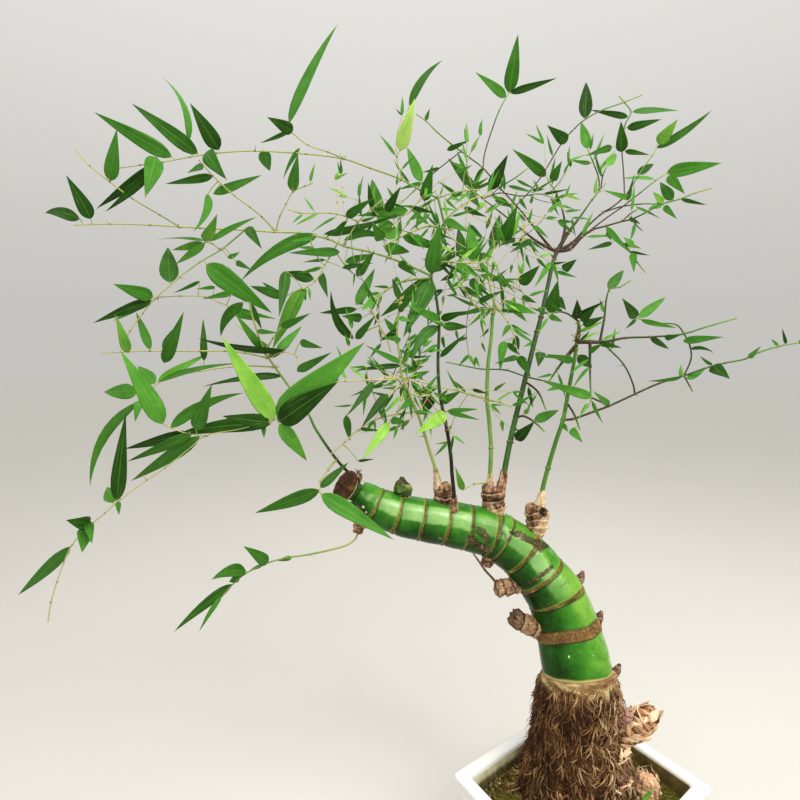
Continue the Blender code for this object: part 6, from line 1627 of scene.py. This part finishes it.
def makeStem(name, stem, shoots, leafMaterial, stalkMaterial, small):
    draw, loose = random.Random(name), random.Random(name + " looks")
    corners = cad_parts[name].data.vertices
    tree = KDTree(len(corners))
    for index, corner in enumerate(corners):
        tree.insert(corner.co, index)
    tree.balance()

    stalks, culms, smooth = [], [], []
    for index, shoot in enumerate(shoots):
        twig = index > 0
        size = stemValues["twigRound"] if twig else stemValues["culmRound"].get(name, stemValues["usualRound"])
        rows = [(*onSheet(*point[:3]), sizeAt(point[2], point[3]) * size) for point in shoot.full]
        if twig and name in stemValues["stout"]:
            fork, reach = stemValues["stout"][name], stemValues["stoutReach"]
            rows = [(*row[:3], row[3] * (1 + stemValues["stouter"] * max(0.0,
                1 - math.dist(point[:2], fork) / reach)))
                for row, point in zip(rows, shoot.full)]
        if twig:  # a twig starts on the smooth line of the shoot that bears it
            found = ((*nearestOf(path, rows[0][:3]), path) for path in smooth)
            _, at, bearer = min(found, key=lambda item: item[0])
            rows[0] = (*bearer[at], rows[0][3])
            tones = list(zip((0.0, 0.45, 1.0), stemValues["twigTones"][name]))
            path = jointedPath(rows, list(range(1, len(rows) - 1)), stemValues["twigSwell"], tones)
            stalks.append(path)
        else:
            path = jointedPath(rows, stem["joints"], stemValues["culmSwell"], stemValues["tones"][name])
            culms.append(path)
        smooth.append(path["points"])
    whole = np.concatenate(smooth)

    def stalkTo(base):  # a leaf's stalk, from the nearest place of the stem
        away, at = nearestOf(whole, base)
        if away < stemValues["noStalk"] * mm:  # the leaf sits on the twig itself
            return
        points = np.linspace(whole[at], np.array(base), 4)
        points[1:3, 2] += 0.06 * np.linalg.norm(points[3] - points[0])
        half = np.linspace(stemValues["stalk"] * 1.25, stemValues["stalk"] * 0.9, 4) * mm
        stalks.append({"points": points, "half": half, "tone": np.full(4, 0.66),
            "joint": np.array([0.8, 0.0, 0.0, 0.1])})

    def sheathsAt(place, count, values, tones):  # short dry sheaths round a place on a shoot
        start = np.array(onSheet(*place[:3]))
        for _ in range(count):
            way = np.array([loose.gauss(0, 1), loose.gauss(0, 0.6), loose.gauss(*values["lift"])])
            way *= loose.uniform(*values["reach"]) * mm / np.linalg.norm(way)
            stalks.append({"points": np.array([start, start + way * 0.5, start + way]),
                "half": np.array(values["half"]) * mm, "tone": np.array(tones), "joint": np.array(values["joint"])})

    for shoot in shoots[1:]:
        sheathsAt(shoot.drawn[0], 3, stemValues["budSheaths"], (0.10, 0.95, 1.0))
    if name in stemValues["bracts"]:
        across, down, count, tone = stemValues["bracts"][name]
        sheathsAt(nearestPlace(shoots, across, down), count, stemValues["bractSheaths"],
            (0.10, tone, min(tone + 0.2, 1.0)))

    for shoot in shoots:  # spines
        run = stemValues["spineApart"] * draw.uniform(0.3, 0.8)
        for before, place in zip(shoot.drawn, shoot.drawn[1:-1]):
            run += math.dist(before[:2], place[:2])
            if run < stemValues["spineApart"]:
                continue
            run -= stemValues["spineApart"]
            way = Vector((draw.uniform(-1, 1), draw.uniform(-1, 0.6), draw.uniform(-0.4, 1.0))).normalized()
            centre = onSheet(*place[:3])
            long = (stemValues["spineLong"] + place[3]) * mm
            bend = Vector((0, 0, 0.10 * long))
            points = np.array([tuple(centre + way * long * t + bend * t * t) for t in (0, 0.3, 0.6, 0.85, 1.0)])
            stalks.append({"points": points, "half": np.array([0.75, 0.5, 0.32, 0.16, 0.05]) * mm,
                "tone": np.array([0.7, 0.85, 0.95, 1.0, 0.9]), "joint": np.array([1.0, 0.5, 0.2, 0.2, 0.8])})

    leaves, missed = [], 0
    for leaf in stem["leaves"]:
        root, base, tip, wide, roll, bow, rise = leafPlace(leaf, shoots, draw)
        scale = sizeAt(root[2], 1.0)
        length = math.dist(base, tip)
        ends = [onSheet(*tip, root[2] + rise + change) for change in stemValues["changes"]]
        found = [end for end in ends if tree.find(end)[2] < 0.2 * mm]
        if not found:
            missed += 1
            continue
        left = ((tip[1] - base[1]) / length, -(tip[0] - base[0]) / length)
        shift = (rightWay * left[0] - upWay * left[1]) * bow * scale
        middle = ((base[0] + tip[0]) / 2, (base[1] + tip[1]) / 2)
        start = onSheet(*base, root[2])
        light = lightOf(*middle, loose, stemValues["light"])
        leaves.append(leafPath(start, found[0], wide * scale, roll, shift, light, loose.random(), loose))
        stalkTo(start)

    def addLeaf(across, down, near, way, long, wide):  # not where it would pass the solids' box
        start = onSheet(across, down, near)
        tip = (across + math.cos(way) * long, down + math.sin(way) * long)
        end = onSheet(*tip, near + loose.uniform(-0.3, 0.3) * long)
        if not all(low < value < high for low, value, high in zip(cadLow, end, cadHigh)):
            return
        leaves.append(leafPath(start, end, wide * sizeAt(near, 1.0), loose.uniform(-0.7, 0.7), Vector((0, 0, 0)),
            lightOf(across, down, loose, stemValues["smallLight"]), loose.random(), loose))
        stalkTo(start)

    def somewhere(left, right, top, bottom):  # a random place on a twig and its heading, or nothing outside the box
        shoot = loose.choice(shoots[1:] or shoots)
        k = loose.randrange(len(shoot.drawn) - 1)
        here, beyond, part = shoot.drawn[k], shoot.drawn[k + 1], loose.random()
        across, down, near, _ = (a + (b - a) * part for a, b in zip(here, beyond))
        if left < across < right and top < down < bottom:
            return across, down, near, math.atan2(beyond[1] - here[1], beyond[0] - here[0])
        return None

    for across, down, tipAcross, tipDown, wide in small:
        root = nearestPlace(shoots, across, down)
        way = math.atan2(tipDown - down, tipAcross - across)
        addLeaf(across, down, root[2], way, math.dist((across, down), (tipAcross, tipDown)), wide)
    for _ in range(stemValues["extraLeaves"].get(name, 0)):
        found = somewhere(*stemValues["leafBox"])
        if found:
            across, down, near, heading = found
            way = heading + loose.choice((-1, 1)) * loose.uniform(0.4, 1.1)
            addLeaf(across + math.cos(way) * 3, down + math.sin(way) * 3, near, way,
                loose.uniform(*stemValues["extraLong"]), loose.uniform(*stemValues["extraWide"]))
    for _ in range(stemValues["extraTwigs"].get(name, 0)):  # thin twigs that carry a few small leaves
        found = somewhere(*stemValues["twigBox"])
        if not found:
            continue
        across, down, near, _ = found
        way, long = loose.uniform(-math.pi, math.pi), loose.uniform(*stemValues["twigLong"])
        lean = loose.uniform(-0.4, 0.4)
        thick, tone = loose.uniform(*stemValues["twigHalf"]) * mm, loose.choice((0.12, 0.60, 0.80, 0.92, 1.0))
        shares = (0, 0.35, 0.7, 1.0)
        drawn = [(across + math.cos(way + lean * t) * long * t, down + math.sin(way + lean * t) * long * t,
            near + lean * 25 * t) for t in shares]
        rows = [(*onSheet(*point), thick * (1 - 0.35 * t)) for point, t in zip(drawn, shares)]
        path = jointedPath(rows, [1, 2], 0.6, [(0.0, tone), (1.0, tone * 0.8 + 0.15)])
        stalks.append(path)
        whole = np.concatenate([whole, path["points"]])
        for at in (1, 2, 3, 3)[loose.randrange(3):]:
            addLeaf(*drawn[at], way + loose.uniform(-0.9, 0.9), loose.uniform(*stemValues["twigLeafLong"]),
                loose.uniform(*stemValues["twigLeafWide"]))

    print("  ", name, len(shoots) - 1, "twigs,", len(leaves), "leaves,", missed, "left out")
    settle(skinned(name + "_culm", culms, stalkMaterial, sides=stemValues["culmSides"]), "leaf", name)
    settle(skinned(name + "_twigs", stalks, stalkMaterial, sides=stemValues["twigSides"]), "leaf", name)
    settle(skinned(name + "_leaves", leaves, leafMaterial, flatSkin, stemValues["leafSides"],
        stemValues["leafThickness"], stemValues["leafFold"]), "leaf", name)


def makeStems():
    leafMaterial, stalkMaterial = leafPaint(), stalkPaint()
    grownShoots = {name: growShoots(stem) for name, stem in stems.items()}
    small = {name: [] for name in stems}
    for leaf in stemValues["smallLeaves"]:  # each on the stem it is nearest to
        owner = min(stems, key=lambda name: min(shoot.closest(*leaf[:2])[0] for shoot in grownShoots[name]))
        small[owner].append(leaf)
    for name, stem in stems.items():
        makeStem(name, stem, grownShoots[name], leafMaterial, stalkMaterial, small[name])


# The picture: floor, light and camera

studioValues = {
    "floor": 12.0, "floorColour": (0.68, 0.665, 0.63),
    # the pale room: its light at the horizon and overhead
    "low": (0.56, 0.547, 0.52), "high": (0.88, 0.865, 0.83),
    # each light: place, what it looks at, size both ways, power, colour
    "lights": [((0.80, -0.60, 1.60), (0.0, 0.0, 0.40), (0.80, 0.80), 14.0, (1.0, 0.95, 0.86)),
        ((-0.15, -0.62, 1.45), (-0.15, 0.0, 0.45), (1.60, 0.50), 10.0, (1.0, 0.985, 0.94)),
        ((-0.2, 1.0, 1.4), (-0.1, 0.0, 0.5), (1.0, 1.0), 2.5, (1.0, 0.98, 0.95))],
    "lens": 21.15, "sensor": 36.0,
}


def makeStudio():
    half = studioValues["floor"]
    mesh = bpy.data.meshes.new("floor")
    mesh.from_pydata([(-half, -half, 0), (half, -half, 0), (half, half, 0), (-half, half, 0)], [], [(0, 1, 2, 3)])
    paint = Paint("floor", Roughness=0.75)
    paint.feed("Base Color", paint.ramp(paint.spots(3.0, 2.0), [
        (0.3, tuple(c * 0.985 for c in studioValues["floorColour"])), (0.7, studioValues["floorColour"])]))
    floor = addPiece("floor", mesh, paint.material)
    for number, (place, target, size, power, colour) in enumerate(studioValues["lights"]):
        light = bpy.data.lights.new(f"light {number}", "AREA")
        light.shape, light.size, light.size_y, light.energy, light.color = "RECTANGLE", *size, power, colour
        lamp = bpy.data.objects.new(f"light {number}", light)
        bpy.context.scene.collection.objects.link(lamp)
        lamp.location = place
        lamp.rotation_euler = (Vector(target) - Vector(place)).to_track_quat("-Z", "Y").to_euler()
    world = bpy.data.worlds.new("pale studio")
    bpy.context.scene.world = world
    world.use_nodes = True
    sky = Graph(world.node_tree)
    height = sky.node("ShaderNodeSeparateXYZ", values={0: sky.node("ShaderNodeTexCoord", out="Generated")}, out=2)
    world.node_tree.links.new(sky.mix(height.rise(0.0, 0.9), studioValues["low"], studioValues["high"]).socket,
        world.node_tree.nodes["Background"].inputs[0])
    camera = bpy.data.cameras.new("camera")
    camera.lens, camera.sensor_width = studioValues["lens"], studioValues["sensor"]
    camera.clip_start, camera.clip_end = 0.01, 50.0
    holder = bpy.data.objects.new("camera", camera)
    bpy.context.scene.collection.objects.link(holder)
    holder.location = view["eye"]
    holder.rotation_euler = (math.radians(90) - view["lookDown"], 0, 0)
    bpy.context.scene.camera = holder
    bpy.context.scene.view_settings.view_transform = "Standard"


for stage, make in (("pot", makePot), ("soil", makeSoil), ("root clump", makeClump), ("old stem", makeTrunk),
    ("stubs and buds", makeStubs), ("root buds", makeRootBuds), ("cut end", makeCutEnd),
    ("leafy stems", makeStems), ("floor, light and camera", makeStudio)):
    make()
    print("made", stage)
